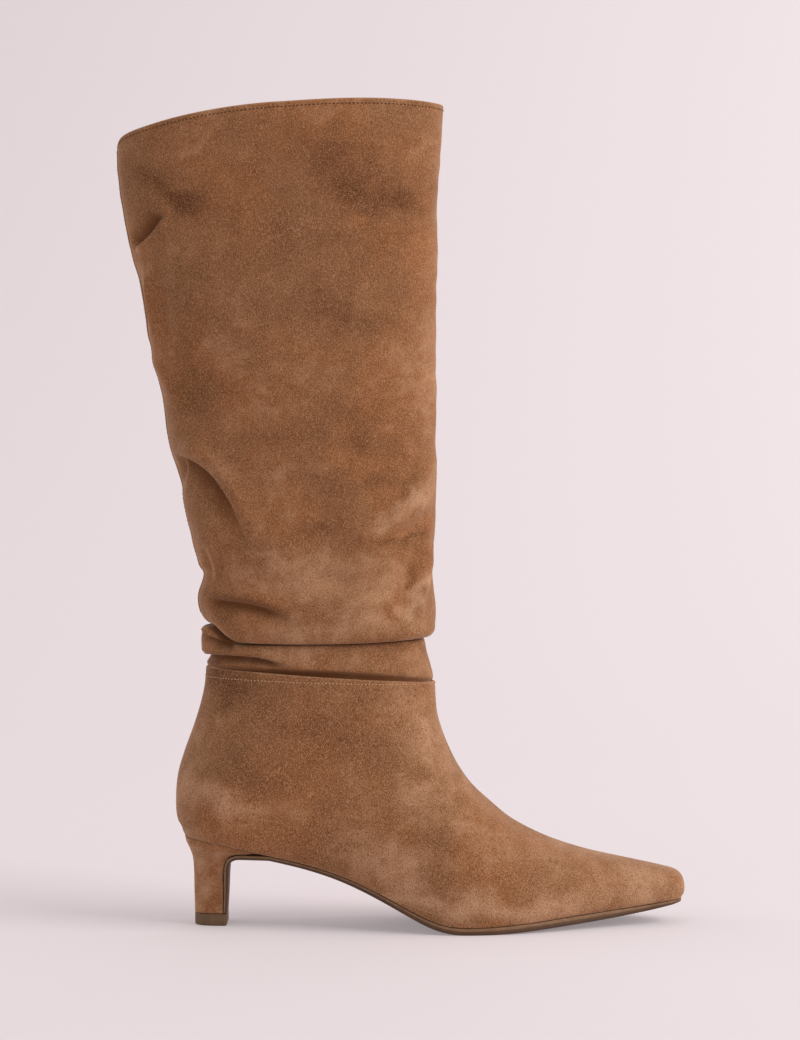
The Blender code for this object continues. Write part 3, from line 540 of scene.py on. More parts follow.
def section_points(ridge, base, halves, base_widths, widest, top_full, base_full, round_x):
    """One grid row for each section, from the outer feather edge over the ridge to the inner feather edge."""
    widest, top_full, base_full, round_x = (part[:, None] for part in (widest, top_full, base_full, round_x))
    low_down = np.cos(quarter_turn(FOOT_LOW_COLUMNS + 1))
    high_turn = quarter_turn(FOOT_HIGH_COLUMNS + 1)[1:]
    high_up = np.sin(high_turn) ** (2 / top_full)
    high_wide = np.clip(np.cos(high_turn), 0, 1) ** (2 / top_full)
    low_wide = (1 - low_down**base_full) ** (1 / base_full)
    up = join([widest * (1 - low_down), widest + (1 - widest) * high_up], axis=1)
    x, z = (start[:, None] + up * (end - start)[:, None] for start, end in zip(base, ridge))
    rounding = seat_rounding(x, back_contour(z), round_x)
    sides = []
    for half, base_half in zip(halves, base_widths):
        low = base_half[:, None] + (half - base_half)[:, None] * low_wide
        sides.append(join([low, half[:, None] * high_wide], axis=1) * rounding)
    x, z = (join([part, part[:, -2::-1]], axis=1) for part in (x, z))
    return np.stack([x, join([-sides[0], sides[1][:, -2::-1]], axis=1) + swing(x), z], axis=-1)


def foot_surface():
    """The foot part's outside as a grid, from the toe to the ankle, and the row where it closes behind."""
    last = len(FOOT_SECTIONS) - 1
    toe_to_seat = np.linspace(0, SEAT_SECTION, FOOT_OPEN_ROWS, endpoint=False)
    round_seat = SEAT_SECTION + (last - SEAT_SECTION) * np.sin(quarter_turn(FOOT_SEAT_ROWS + 1))
    at = join([toe_to_seat, round_seat])
    sections = through(np.arange(last + 1), FOOT_SECTIONS, at).T
    ridge_x, ridge_z, base_x, outer, inner, widest, top_full, base_full = sections
    base_x = np.clip(base_x, BACK_X, TOE_X)
    base = (base_x, feather_height(base_x))
    round_x = np.full_like(outer, SEAT_ROUND_X)
    front = section_points(
        (ridge_x, ridge_z), base, (outer, inner), base_halves(base_x), widest, top_full, base_full, round_x
    )
    last = len(BACK_SECTIONS) - 1
    rising = 1 - (1 - np.linspace(0, 1, FOOT_CLOSED_ROWS + 1)[1:]) ** CLOSED_ROW_BIAS
    ridge_x, ridge_z, back_x, back_z, outer, inner, widest, *low = through(
        np.arange(last + 1), BACK_SECTIONS, last * rising
    ).T
    base_outer, base_inner, base_full, round_x = low
    round_top = np.full_like(outer, 2)
    back = section_points(
        (ridge_x, ridge_z), (back_x, back_z), (outer, inner), (base_outer, base_inner),
        widest, round_top, base_full, round_x,
    )
    back[:, [0, -1]] = np.stack([back_x, swing(back_x), back_z], axis=-1)[:, None]
    return join([front, back]), len(at) - 1


def foot_normals(points, closing_row, smoothing):
    """Outward normals of the foot's grid, level where its edge meets the sole."""
    back = np.gradient(points, axis=0)
    over = np.gradient(points, axis=1)
    joined = (points[closing_row:, 1] - points[closing_row:, -2]) / 2
    over[closing_row:, 0] = joined
    over[closing_row:, -1] = joined
    normal = unit(np.cross(over, back))
    for _ in range(smoothing):
        normal[1:-1] += (normal[:-2] + normal[2:]) / 2
        normal[:, 1:-1] += (normal[:, :-2] + normal[:, 2:]) / 2
        normal = unit(normal)
    normal[0] = (1.0, 0.0, 0.0)
    normal[: closing_row + 1, [0, -1], 2] = 0
    normal[closing_row, [0, -1]] = (-1.0, 0.0, 0.0)
    normal[closing_row:, -1] = normal[closing_row:, 0]
    normal[-1, :, 2] = 0
    return unit(normal)


# The shaft's form


def ring_table(rings):
    """The rings' measures without their names and the lining's inset."""
    return np.array([ring[1:-1] for ring in rings], float)


def around(rings, turn):
    """Points of each ring at the given turns, 0 at the front and a quarter turn at the inner side."""
    columns = (column[:, None] for column in rings.T)
    back_x, back_z, front_x, front_z, side_z, outer, inner, lift, corner = columns
    cosine, sine = np.cos(turn), np.sin(turn)
    bulged = [np.sign(part) * np.abs(part) ** (2 / LEG_FULLNESS) for part in (cosine, sine)]
    ends = (back_z + front_z) / 2
    from_back = np.abs((turn % (2 * math.pi)) - math.pi)
    near_back = smooth_step((LIFT_REACH - from_back) / LIFT_EDGE)
    z = (ends + side_z) / 2 + (front_z - back_z) / 2 * cosine + (ends - side_z) / 2 * np.cos(2 * turn)
    z = z + lift * near_back - corner * np.exp(-((from_back / CORNER_TURN) ** 2))
    x = (front_x + back_x) / 2 + (front_x - back_x) / 2 * bulged[0]
    return np.stack([x, np.where(sine > 0, inner, outer) * bulged[1], z], axis=-1)


def ring_distances(rings):
    """How far up the suede each ring lies, measured along it."""
    along = [np.hypot(*np.diff(rings[:, pair], axis=0).T) for pair in ([0, 1], [2, 3], [4, 5])]
    return join([[0.0], np.cumsum((along[0] + along[1] + 2 * along[2]) / 4)])


def ring_normals(points):
    """Outward normals of a grid of closed rings that run up from the bottom."""
    along = (np.roll(points, -1, axis=1) - np.roll(points, 1, axis=1)) / 2
    return unit(np.cross(along, np.gradient(points, axis=0)))


def side_share(side, y):
    """1 on that side of the boot and 0 on the other, blending over its back and front."""
    return smooth_step(side * y * 2 / SIDE_BLEND + 0.5)


def nearest_on(path, x, z):
    """Distance to a path in the side view, the share of it passed, which side it is, and the path's left."""
    nearest = np.full(x.shape, np.inf)
    along = np.zeros_like(x)
    signed = np.zeros_like(x)
    left = np.zeros(x.shape + (2,))
    for number, (start, end) in enumerate(zip(path[:-1], path[1:])):
        run = end - start
        length = np.hypot(*run)
        off_x, off_z = x - start[0], z - start[1]
        share = np.clip((off_x * run[0] + off_z * run[1]) / length**2, 0.0, 1.0)
        distance = np.hypot(off_x - share * run[0], off_z - share * run[1])
        closer = distance < nearest
        nearest = np.where(closer, distance, nearest)
        along = np.where(closer, (number + share) / (len(path) - 1), along)
        signed = np.where(closer, run[0] * off_z - run[1] * off_x, signed)
        left = np.where(closer[..., None], np.array([-run[1], run[0]]) / length, left)
    return nearest, along, signed, left


def crease_depth(x, y, z):
    """How far the soft troughs and ridges press the shaft in at each point."""
    depth = np.zeros_like(x)
    t = np.linspace(0.0, 1.0, CREASE_STEPS)
    for crease in CREASES:
        path = sum(map(np.outer, ((1 - t) ** 2, 2 * t * (1 - t), t**2), (crease.start, crease.bend, crease.end)))
        nearest, along, _, _ = nearest_on(path, x, z)
        fade = np.sin(math.pi * (CREASE_END_FADE + (1 - 2 * CREASE_END_FADE) * along))
        depth += crease.depth * fade * side_share(crease.side, y) * np.exp(-((nearest / crease.width) ** 2))
    return depth


def fold_suede(points, outward, over_lip):
    """Moves the points into the sharp folds. Returns them, and the painted shade in the folds at each point,
    from 0 to 1.
    """
    sunken = np.zeros(points.shape[:-1])
    moved = points.copy()
    x, y, z = np.moveaxis(points, -1, 0)
    for fold in FOLDS:
        path = np.array(fold.path, float)
        path = through(np.arange(len(path)), path, np.linspace(0, len(path) - 1, FOLD_PATH_POINTS))
        nearest, along, signed, left = nearest_on(path, x, z)
        above = signed >= 0
        gap = np.where(above, nearest, -nearest)
        here = smooth_step(along / fold.start_fade) * smooth_step((1 - along) / fold.end_fade)
        here = here * side_share(fold.side, y) * (over_lip == (fold.layer == SKIRT))
        sink = fold.depth * np.exp(-((gap / np.where(above, fold.above, fold.below)) ** 2))
        middle = fold.reach * ROLL_MIDDLE
        roll = fold.roll * (gap > 0) * np.exp(-(((gap - middle) / middle) ** 2))
        past = np.maximum(gap - OVERHANG_RISE, 0) / (fold.reach * OVERHANG_REACH)
        over = smooth_step(gap / OVERHANG_RISE) * np.exp(-past)
        moved += outward * ((roll - sink) * here)[..., None]
        moved[..., [0, 2]] -= left * (fold.overhang * over * here)[..., None]
        # Painted shade in and beside each fold
        shaded = np.where(above, fold.above + SHADE_MARGIN, fold.below)
        sunken = np.maximum(sunken, here * np.exp(-((gap / shaded) ** 2)))
    return moved, sunken


def shaft_surface():
    """The shaft's outside as a grid, the painted shade at each point, how far up each row lies, and each named
    ring.
    """
    rings = ring_table(SHAFT_RINGS)
    knots = ring_distances(rings)
    heights = {ring.place: knot for ring, knot in zip(SHAFT_RINGS, knots)}
    climb = [knots[0]]
    for low, high in zip(knots[:-1], knots[1:]):
        spacing = [row.step for row in SHAFT_ROW_SPACING if heights[row.place] <= low][-1]
        steps = max(2, round((high - low) / spacing))
        climb.extend(low + (high - low) * (1 + np.arange(steps)) / steps)
    climb = np.array(climb)
    points = around(through(knots, rings, climb), full_turn(SHAFT_COLUMNS)[None, :])
    x, y, z = np.moveaxis(points, -1, 0)
    outward = level(ring_normals(points))
    firm = FIRM_COLLAR * smooth_step((z - COLLAR_Z) / SLACK_BLEND)
    slack = smooth_step((z - SLACK_Z) / SLACK_BLEND) * (1 - firm)
    press = crease_depth(x, y, z) * smooth_step((z - CREASES_Z) / CREASES_BLEND)
    points = points - outward * (press - unevenness(points, LEG_UNEVENNESS) * slack)[..., None]
    points, sunken = fold_suede(points, outward, (climb >= heights["lip, inner turn"])[:, None])
    # Painted shade under the main lip and in the gap above the ankle edge
    under_lip = smooth_step(climb - heights["band top"]) * smooth_step(heights["lip, bottom"] - climb)
    in_ankle = smooth_step((heights["band foot"] + 1.0 - climb) / 2.0)
    return points, np.maximum(sunken, np.maximum(under_lip, in_ankle)[:, None]), climb, heights


def nap_and_painted_light(points):
    """How light or dark the suede lies at each point, from about -1 to 1: the nap's own mottling, and on the
    outer side the listed marks, partly brushed nap and partly painted highlights and painted shade.
    """
    x, y, z = np.moveaxis(points, -1, 0)
    for swell in MARK_WARP_X:
        x = x + unevenness(points, [swell])
    for swell in MARK_WARP_Z:
        z = z + unevenness(points, [swell])
    tone = np.zeros_like(x)
    for mark in NAP_AND_LIGHT_MARKS:
        cosine, sine = math.cos(math.radians(mark.turn)), math.sin(math.radians(mark.turn))
        along = (x - mark.x) * cosine + (z - mark.z) * sine
        across = (z - mark.z) * cosine - (x - mark.x) * sine
        tone += mark.tone * np.exp(-((along / mark.long) ** 2 + (across / mark.wide) ** 2))
    share = side_share(OUTER, y)
    inner_side = unevenness(points, INNER_MOTTLE) * (1 - share)
    return MARK_STRENGTH * tone * share + inner_side + unevenness(points, FINE_MOTTLE)


# Making the meshes


def quads(number, closed=False):
    """Faces over a grid of numbered points, each row a ring that is closed or open."""
    if closed:
        number = join([number, number[:, :1]], axis=1)
    corners = (number[:-1, :-1], number[:-1, 1:], number[1:, 1:], number[1:, :-1])
    return np.stack(corners, axis=-1).reshape(-1, 4).tolist()


def grid_faces(rows, columns, start=0, closed=True):
    return quads(start + np.arange(rows * columns).reshape(rows, columns), closed)


def add_piece(name, points, faces, material, slot, node=None, **values):
    """A piece that rides on the boot, from points in millimetres and values for its material at each point."""
    mesh = bpy.data.meshes.new(name)
    mesh.from_pydata((np.asarray(points, float).reshape(-1, 3) * MM).tolist(), [], faces)
    for label, amounts in values.items():
        attribute = mesh.attributes.new(label, "FLOAT", "POINT")
        attribute.data.foreach_set("value", np.asarray(amounts, float).ravel())
    mesh.shade_smooth()
    mesh.materials.append(material)
    piece = bpy.data.objects.new(name, mesh)
    bpy.context.scene.collection.objects.link(piece)
    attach(piece, "root")
    if node:
        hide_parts(node)


def rolled_edge(grid, outward, thickness, facing):
    """Rings that carry a grid's last row over its thickness and down inside by the facing's depth."""
    rising = unit(grid[-1] - grid[-4])
    middle = grid[-1] - outward * (thickness / 2)
    turn = np.linspace(0, math.pi, RIM_STEPS + 1)[1:]
    rings = [middle + thickness / 2 * (outward * math.cos(angle) + rising * math.sin(angle)) for angle in turn]
    return np.array(rings + [rings[-1] - rising * facing * share for share in FACING_RINGS])


def stitch_row(grid, drop):
    """The row of a grid that lies about that far below its last one."""
    below = np.linalg.norm(grid - grid[-1], axis=-1).mean(axis=1)
    return int(np.argmin(np.abs(below - drop)))


def add_stitches(name, line, outward, stitch, thread, closed=True):
    """Short raised threads along a line of points, each one dipping into the suede at its ends."""
    if closed:
        line, outward = (join([part, part[:1]]) for part in (line, outward))
    distance = join([[0.0], np.cumsum(np.linalg.norm(np.diff(line, axis=0), axis=-1))])
    count = int(distance[-1] / stitch.pitch)
    pitch = distance[-1] / count
    turn = full_turn(STITCH_SIDES)[None, :, None]
    along = np.linspace(-1, 1, STITCH_RINGS)
    size = np.sqrt(np.maximum(1 - along**4, STITCH_END)) * stitch.width / 2
    lift = stitch.rise * (1 - along**2) - stitch.width * STITCH_BED
    points, faces = [], []
    for number in range(count):
        at = (number + 0.5) * pitch + along * stitch.length / 2
        centre, up = (
            np.stack([np.interp(at, distance, part[:, axis]) for axis in range(3)], axis=-1)
            for part in (line, outward)
        )
        up = unit(up)
        side = unit(np.cross(unit(np.gradient(centre, axis=0)), up))
        round_thread = np.cos(turn) * side[:, None] + np.sin(turn) * up[:, None]
        points.append((centre + up * lift[:, None])[:, None] + size[:, None, None] * round_thread)
        start = number * STITCH_SIDES * STITCH_RINGS
        ends = start + np.arange(STITCH_SIDES)
        faces += grid_faces(STITCH_RINGS, STITCH_SIDES, start)
        faces += [ends[::-1].tolist(), (ends + STITCH_SIDES * (STITCH_RINGS - 1)).tolist()]
    add_piece(name, points, faces, thread, "suede")


def make_shaft(suede, thread):
    """The slouched leg with its rolled collar, the stitching under it and the strip over the back seam."""
    points, sunken, climb, heights = shaft_surface()
    normal = ring_normals(points)
    rim = rolled_edge(points, level(normal[-1]), COLLAR_THICKNESS, COLLAR_FACING)
    nap = join([nap_and_painted_light(points), np.full(rim.shape[:2], EDGE_NAP)])
    sunk = join([sunken, np.zeros(rim.shape[:2])])
    faces = grid_faces(len(nap), SHAFT_COLUMNS)
    add_piece("shaft_suede", join([points, rim]), faces, suede, "suede", "shaft", nap=nap, sunken=sunk)
    row = stitch_row(points, COLLAR_STITCH_DROP)
    add_stitches("collar_stitches", points[row], normal[row], COLLAR_STITCH, thread)

    rows = np.flatnonzero(climb > heights["lip, outer turn"])
    reach = len(STRIP_PROFILE) // 2
    patch = np.ix_(rows, SHAFT_COLUMNS // 2 + np.arange(-reach, reach + 1))
    climb = climb[rows]
    taper = smooth_step((climb[-1] - climb) / STRIP_TAPER) * smooth_step((climb - climb[0]) / STRIP_TAPER)
    raised = np.outer(taper, STRIP_PROFILE) + STRIP_PROFILE[0] * (1 - taper[:, None])
    strip = points[patch] + normal[patch] * raised[..., None]
    faces = grid_faces(*raised.shape, closed=False)
    nap = nap_and_painted_light(strip) + STRIP_NAP
    add_piece("back_strip", strip, faces, suede, "suede", nap=nap, sunken=sunken[patch])
    for side, column in (("outer", 1), ("inner", -2)):
        upward = normal[patch][:, column]
        add_stitches(f"strip_stitches_{side}", strip[:, column], upward, STRIP_STITCH, thread, closed=False)


def make_shaft_lining(leather):
    """The smooth lining inside the leg, with a wall of its own."""
    followed = [ring for ring in SHAFT_RINGS if ring.lining]
    rings = ring_table(followed)
    knots = ring_distances(rings)
    climb = np.linspace(knots[0], knots[-1] - LINING_DROP, LINING_ROWS)
    points = around(through(knots, rings, climb), full_turn(LINING_COLUMNS)[None, :])
    normal = level(ring_normals(points))
    outside = points - normal * through(knots, [ring.lining for ring in followed], climb)[:, None, None]
    inside = outside - normal * LINING_THICKNESS
    shell = join([outside, inside[::-1], outside[:1]])
    add_piece("shaft_lining", shell, grid_faces(len(shell), LINING_COLUMNS), leather, "sock")


def foot_faces(rows, columns, closing_row):
    """Faces over the foot's grid, with the toe's row drawn to one point and the rows behind the heel closed."""
    number = np.arange(rows * columns).reshape(rows, columns)
    number[0, :] = number[0, 0]
    number[closing_row:, -1] = number[closing_row:, 0]
    return [list(dict.fromkeys(face)) for face in quads(number)], number


def make_foot(suede, leather, thread):
    """The foot part with its back seam and ankle edge, its lining and the stitching under the edge."""
    points, closing_row = foot_surface()
    rows, columns = points.shape[:2]
    normal = foot_normals(points, closing_row, FOOT_SMOOTHING)
    smooth = foot_normals(points, closing_row, LINING_SMOOTHING)
    z = points[..., 2]
    from_edge = np.minimum(np.arange(columns), np.arange(columns)[::-1])
    step = np.linalg.norm(points[:, 1] - points[:, 0], axis=-1)[:, None]
    # Painted shade along the back seam's groove
    seam = np.exp(-((from_edge * np.maximum(step, 0.05) / SEAM_WIDTH) ** 2))
    seam[:closing_row] = 0
    slack = smooth_step((z - FOOT_SLACK_Z) / FOOT_SLACK_BLEND) * smooth_step((FOOT_FIRM_Z - z) / FOOT_FIRM_BLEND)
    swell = unevenness(points, FOOT_UNEVENNESS) * slack
    outside = points + normal * (swell - SEAM_DEPTH * seam)[..., None]
    faces, number = foot_faces(rows, columns, closing_row)

    feather = join([number[closing_row::-1, 0], number[1:closing_row, -1]])
    under = (outside - smooth * FEATHER_TURN).reshape(-1, 3)[feather]
    start = rows * columns
    faces += quads(np.stack([feather, start + np.arange(len(feather))]), closed=True)
    start += len(feather)
    rim = rolled_edge(outside[:, :-1], normal[-1, :-1], ANKLE_THICKNESS, ANKLE_FACING)
    faces += quads(np.stack([number[-1, :-1], start + np.arange(columns - 1)]), closed=True)
    faces += grid_faces(len(rim), columns - 1, start)
    whole = join([part.reshape(-1, 3) for part in (outside, under, rim)])
    nap = join([nap_and_painted_light(points).ravel(), np.zeros(len(feather)), np.full(rim.size // 3, EDGE_NAP)])
    sunk = join([seam.ravel(), np.zeros(len(nap) - seam.size)])
    add_piece("foot_suede", whole, faces, suede, "suede", "upper", nap=nap, sunken=sunk)
    row = stitch_row(outside, ANKLE_STITCH_DROP)
    add_stitches("ankle_stitches", outside[row, :-1], normal[row, :-1], ANKLE_STITCH, thread)

    rows_kept = np.unique(np.r_[0:rows - 1:LINING_SKIP, rows - 1, closing_row])
    columns_kept = np.r_[0:columns - 1:LINING_SKIP, columns - 1]
    lining = (points - smooth * UPPER_WALL)[np.ix_(rows_kept, columns_kept)][:-2]
    faces, _ = foot_faces(*lining.shape[:2], int(np.searchsorted(rows_kept, closing_row)))
    add_piece("foot_lining", lining, [face[::-1] for face in faces], leather, "sock")


def closed_loft(name, rings, material, slot, node, **values):
    """A closed form through rings of points, capped at both ends."""
    count, corners = rings.shape[:2]
    faces = grid_faces(count, corners)
    first_centre = count * corners
    last_ring = first_centre - corners
    for here in range(corners):
        after = (here + 1) % corners
        faces.append([after, here, first_centre])
        faces.append([last_ring + here, last_ring + after, first_centre + 1])
    points = join([rings.reshape(-1, 3), rings[[0, -1]].mean(axis=1)])
    add_piece(name, points, faces, material, slot, node, **values)


def heel_ring(front, back, outer, inner, full):
    """A closed ring round the heel: flat across the breast, rounded at its corners and behind."""
    corner = np.linspace(math.pi / 2, 0, HEEL_CORNER_POINTS)[:-1]
    angle = quarter_turn(HEEL_SIDE_COLUMNS + 1)
    turned = HEEL_CORNER / abs(front[0] - back[0])
    share = join([turned * (1 - np.sin(corner)), turned + (1 - turned) * np.sin(angle) ** (2 / full)])
    inset = join([HEEL_CORNER * (1 - np.cos(corner)), np.zeros(len(angle))])
    kept = join([np.ones(len(corner)), np.clip(np.cos(angle), 0, 1) ** (2 / full)])
    x, z = (start + (end - start) * share for start, end in zip(front, back))
    outer_side = np.stack([x, -(outer * kept - inset), z], axis=-1)
    inner_side = np.stack([x, inner * kept - inset, z], axis=-1)
    breast = np.linspace(inner_side[0], outer_side[0], BREAST_POINTS + 2)[1:-1]
    return join([outer_side, inner_side[-2::-1], breast])


def make_heel(suede):
    """The slim heel in its suede cover."""
    last = len(HEEL_SLICES) - 1
    at = last * np.linspace(0, 1, HEEL_ROWS) ** HEEL_ROW_BIAS
    rings = []
    for share, (front_x, front_z, *rest) in zip(at, through(np.arange(last + 1), HEEL_SLICES, at)):
        ring = heel_ring((front_x, front_z), rest[:2], *rest[2:])
        x, y, z = ring.T
        outer, inner = (np.maximum(half - SEAT_INSET, 0) for half in feather_halves(np.clip(x, BACK_X, TOE_X)))
        seat_y = np.where(y < 0, -outer, inner)
        seat_y[-BREAST_POINTS:] = y[-BREAST_POINTS:]
        near_seat = smooth_step(1 - share)
        y += near_seat * (seat_y - y)
        z += near_seat * (feather_height(x) - GAP - z)
        rings.append(ring)
    rings = np.array(rings)[::-1]
    nap = join([unevenness(rings, HEEL_MOTTLE).ravel() + HEEL_NAP, [0, 0]])
    closed_loft("heel_cover", rings, suede, "suede", "heel", nap=nap, sunken=np.zeros(len(nap)))


def make_heel_tip(rubber):
    """The top-piece under the heel, with softened edges."""
    rings = []
    for height, inset in TIP_PROFILE:
        front, back = (TIP_FRONT_X - inset, height), (TIP_BACK_X + inset, height)
        half = TIP_HALF_WIDTH - inset
        rings.append(heel_ring(front, back, half, half, TIP_FULLNESS))
    closed_loft("heel_top_piece", np.array(rings), rubber, "tip_rubber", "heel_tip")


def sole_bottom(x):
    """The tread's height, rolling softly on to the floor."""
    places = x + np.array(SOFTENING_SHARES) * np.clip(TOE_X - x, 0.0, TREAD_ROLL)
    return np.mean(np.maximum(last_value("z", places) - last_value("sole", places), 0.0))


def sole_ring(bottom, top, middle, outer, inner):
    """A section of the sole's edge and tread, from the outer lip round underneath to the inner lip."""
    outer_side, inner_side = [], []
    for rise, inset in SOLE_PROFILE:
        inset = min(inset, outer * LIP_INSET_LIMIT, inner * LIP_INSET_LIMIT)
        x, z = (low + rise * (high - low) for low, high in zip(bottom, top))
        outer_side.append((x, middle - outer + inset, z))
        inner_side.insert(0, (x, middle + inner - inset, z))
    tread = np.linspace(outer_side[-1], inner_side[0], TREAD_POINTS + 2)[1:-1]
    lid = np.linspace(inner_side[-1], outer_side[0], LID_POINTS + 2)[1:-1]
    return join([outer_side, tread, inner_side, lid])


def make_outsole(resin):
    """The sole from the toe to the heel's breast and down the breast as a flap, with a painted highlight band
    along the top of its edge.
    """
    rings = []
    toe = TOE_X - SOLE_TOE * np.linspace(0.0025, 1, SOLE_TOE_ROWS) ** 2
    for x in (*toe, *np.arange(toe[-1] - SOLE_STEP, FLAP_START_X, -SOLE_STEP)):
        outer, inner = (float(half) + SOLE_MARGIN for half in feather_halves(x))
        bottom, top = (x, float(sole_bottom(x))), (x, float(feather_height(x)) - GAP)
        rings.append(sole_ring(bottom, top, float(swing(x)), outer, inner))
    at = np.linspace(0, len(BREAST_FLAP) - 1, FLAP_ROWS)
    for x, z, thick_x, thick_z, outer, inner in through(np.arange(len(BREAST_FLAP)), BREAST_FLAP, at):
        rings.append(sole_ring((x, z), (x + thick_x, z + thick_z), 0.0, outer, inner))
    rise = np.array(SOLE_PROFILE)[:, 0]
    # How high each point lies on the edge, for the painted highlight band along its top
    band = join([rise, np.zeros(TREAD_POINTS), rise[::-1], np.ones(LID_POINTS)])
    tread = join([rise == 0, np.ones(TREAD_POINTS), rise[::-1] == 0, np.zeros(LID_POINTS)])
    band, tread = (join([np.tile(part, len(rings)), [end, end]]) for part, end in ((band, 0.5), (tread, 0.0)))
    closed_loft("sole", np.array(rings), resin, "sole_resin", "outsole", band=band, tread=tread)


def make_sock(leather):
    """The sock that lies over the sole and the heel seat inside."""
    share = (1 - np.cos(np.linspace(0, math.pi, SOCK_ROWS))) / 2
    x = TOE_X - INSOLE_INSET + (BACK_X - TOE_X + 2 * INSOLE_INSET) * share
    halves = feather_halves(TOE_X + (BACK_X - TOE_X) * share)
    edges = []
    for inset, rise in SOCK_PROFILE:
        away = INSOLE_INSET + inset
        outer, inner = (half - away * np.tanh(half / away) for half in halves)
        z = feather_height(x) + rise
        edges.append(np.stack([np.stack([x, swing(x) + y, z], axis=-1) for y in (-outer, inner)], axis=1))
    bottom, low, high, top = edges
    lanes = np.linspace(0, 1, SOCK_LANES)[None, :, None]
    over = top[:, :1] + (top[:, 1:] - top[:, :1]) * lanes
    beneath = bottom[:, 1:] + (bottom[:, :1] - bottom[:, 1:]) * lanes
    loops = join([low[:, :1], high[:, :1], over, high[:, 1:], low[:, 1:], beneath], axis=1)
    closed_loft("sock", loops, leather, "sock", "insole")


# Materials


class Nodes:
    """Short ways to add nodes to one tree, with each input a link or a plain value."""

    def __init__(self, tree):
        self.tree = tree

    def give(self, socket, value):
        if isinstance(value, bpy.types.NodeSocket):
            self.tree.links.new(value, socket)
        else:
            socket.default_value = (*value, 1.0) if socket.type == "RGBA" else value

    def fill(self, sockets, **values):
        """Gives values to the sockets with these labels, an underscore standing for a space."""
        for label, value in values.items():
            self.give(sockets[label.replace("_", " ")], value)

    def add(self, kind, *inputs, **settings):
        node = self.tree.nodes.new("ShaderNode" + kind)
        for name, value in settings.items():
            setattr(node, name, value)
        for socket, value in zip(node.inputs, inputs):
            self.give(socket, value)
        return node

    def maths(self, operation, *values, clamp=False):
        return self.add("Math", *values, operation=operation, use_clamp=clamp).outputs[0]

    def times(self, first, second, clamp=False):
        return self.maths("MULTIPLY", first, second, clamp=clamp)

    def plus(self, first, second):
        return self.maths("ADD", first, second)

    def minus(self, first, second):
        return self.maths("SUBTRACT", first, second)

    def mixed(self, factor, first, second):
        mix = self.add("Mix", factor, data_type="RGBA", clamp_factor=True)
        self.give(mix.inputs[6], first)
        self.give(mix.inputs[7], second)
        return mix.outputs[2]

    def noise(self, where, scale, detail=2.0, roughness=0.5, distortion=0.0):
        node = self.add("TexNoise")
        self.fill(
            node.inputs, Vector=where, Scale=scale, Detail=detail, Roughness=roughness, Distortion=distortion
        )
        return node.outputs["Fac"]

    def ranged(self, value, low, high, to_low=0.0, to_high=1.0):
        node = self.add("MapRange", value, low, high, to_low, to_high, interpolation_type="SMOOTHSTEP")
        return node.outputs["Result"]

    def stretched(self, where, scale, turn=(0.0, 0.0, 0.0)):
        node = self.add("Mapping")
        self.fill(node.inputs, Vector=where, Scale=scale, Rotation=turn)
        return node.outputs["Vector"]

    def attribute(self, label):
        return self.add("Attribute", attribute_name=label).outputs["Fac"]

    def bump(self, height, strength, distance):
        node = self.add("Bump")
        self.fill(node.inputs, Height=height, Strength=strength, Distance=distance)
        return node.outputs["Normal"]

    def group(self, tree, **values):
        node = self.add("Group", node_tree=tree)
        self.fill(node.inputs, **values)
        return node.outputs


def shade(colour, amount):
    return tuple(amount * part for part in colour)


def effect(name, inputs, outputs):
    """A named node group from its inputs (label, kind, value) and outputs (label, kind), and its two ends."""
    tree = bpy.data.node_groups.new(name, "ShaderNodeTree")
    for label, kind, value in inputs:
        socket = tree.interface.new_socket(label, in_out="INPUT", socket_type="NodeSocket" + kind)
        socket.default_value = value
    for label, kind in outputs:
        tree.interface.new_socket(label, in_out="OUTPUT", socket_type="NodeSocket" + kind)
    return Nodes(tree), tree.nodes.new("NodeGroupInput").outputs, tree.nodes.new("NodeGroupOutput").inputs


def nap_mottling():
    """Cloudy lighter, warmer and cooler patches where the nap lies in different directions."""
    nodes, given, out = effect(
        "nap_mottling",
        (("Position", "Vector", (0, 0, 0)), ("Patch Scale", "Float", 40.0)),
        (("Patches", "Float"), ("Warmth", "Float"), ("Freckle", "Float")),
    )
    where, scale = given["Position"], given["Patch Scale"]
    turned = nodes.stretched(where, (1.0, 1.0, 0.7), (0.4, 0.2, 0.9))
    patches = nodes.noise(where, scale, 3.0, 0.55, 0.6)
    warmth = nodes.noise(turned, nodes.times(scale, 0.55), 2.0, 0.5, 0.4)
    freckle = nodes.noise(where, nodes.times(scale, 4.0), 3.0, 0.6, 0.3)
    nodes.fill(
        out,
        Patches=nodes.ranged(patches, 0.30, 0.70),
        Warmth=nodes.ranged(warmth, 0.34, 0.66),
        Freckle=nodes.ranged(freckle, 0.32, 0.68),
    )
    return nodes.tree


def suede_grain():
    """Fine fibres of the nap: a speckle of light tips and short streaks, and their height."""
    nodes, given, out = effect(
        "suede_grain",
        (("Position", "Vector", (0, 0, 0)), ("Grain Scale", "Float", 900.0)),
        (("Speckle", "Float"), ("Streak", "Float"), ("Height", "Float")),
    )
    where, scale = given["Position"], given["Grain Scale"]
    speckle = nodes.noise(where, scale, 2.0, 0.55, 0.2)
    long = nodes.stretched(where, (1.0, 1.0, 0.55), (0.0, 0.6, 0.0))
    streak = nodes.noise(long, nodes.times(scale, 0.8), 1.0, 0.5, 0.3)
    nodes.fill(
        out,
        Speckle=nodes.ranged(speckle, 0.33, 0.67),
        Streak=nodes.ranged(streak, 0.33, 0.67),
        Height=nodes.plus(speckle, nodes.times(streak, 0.8)),
    )
    return nodes.tree


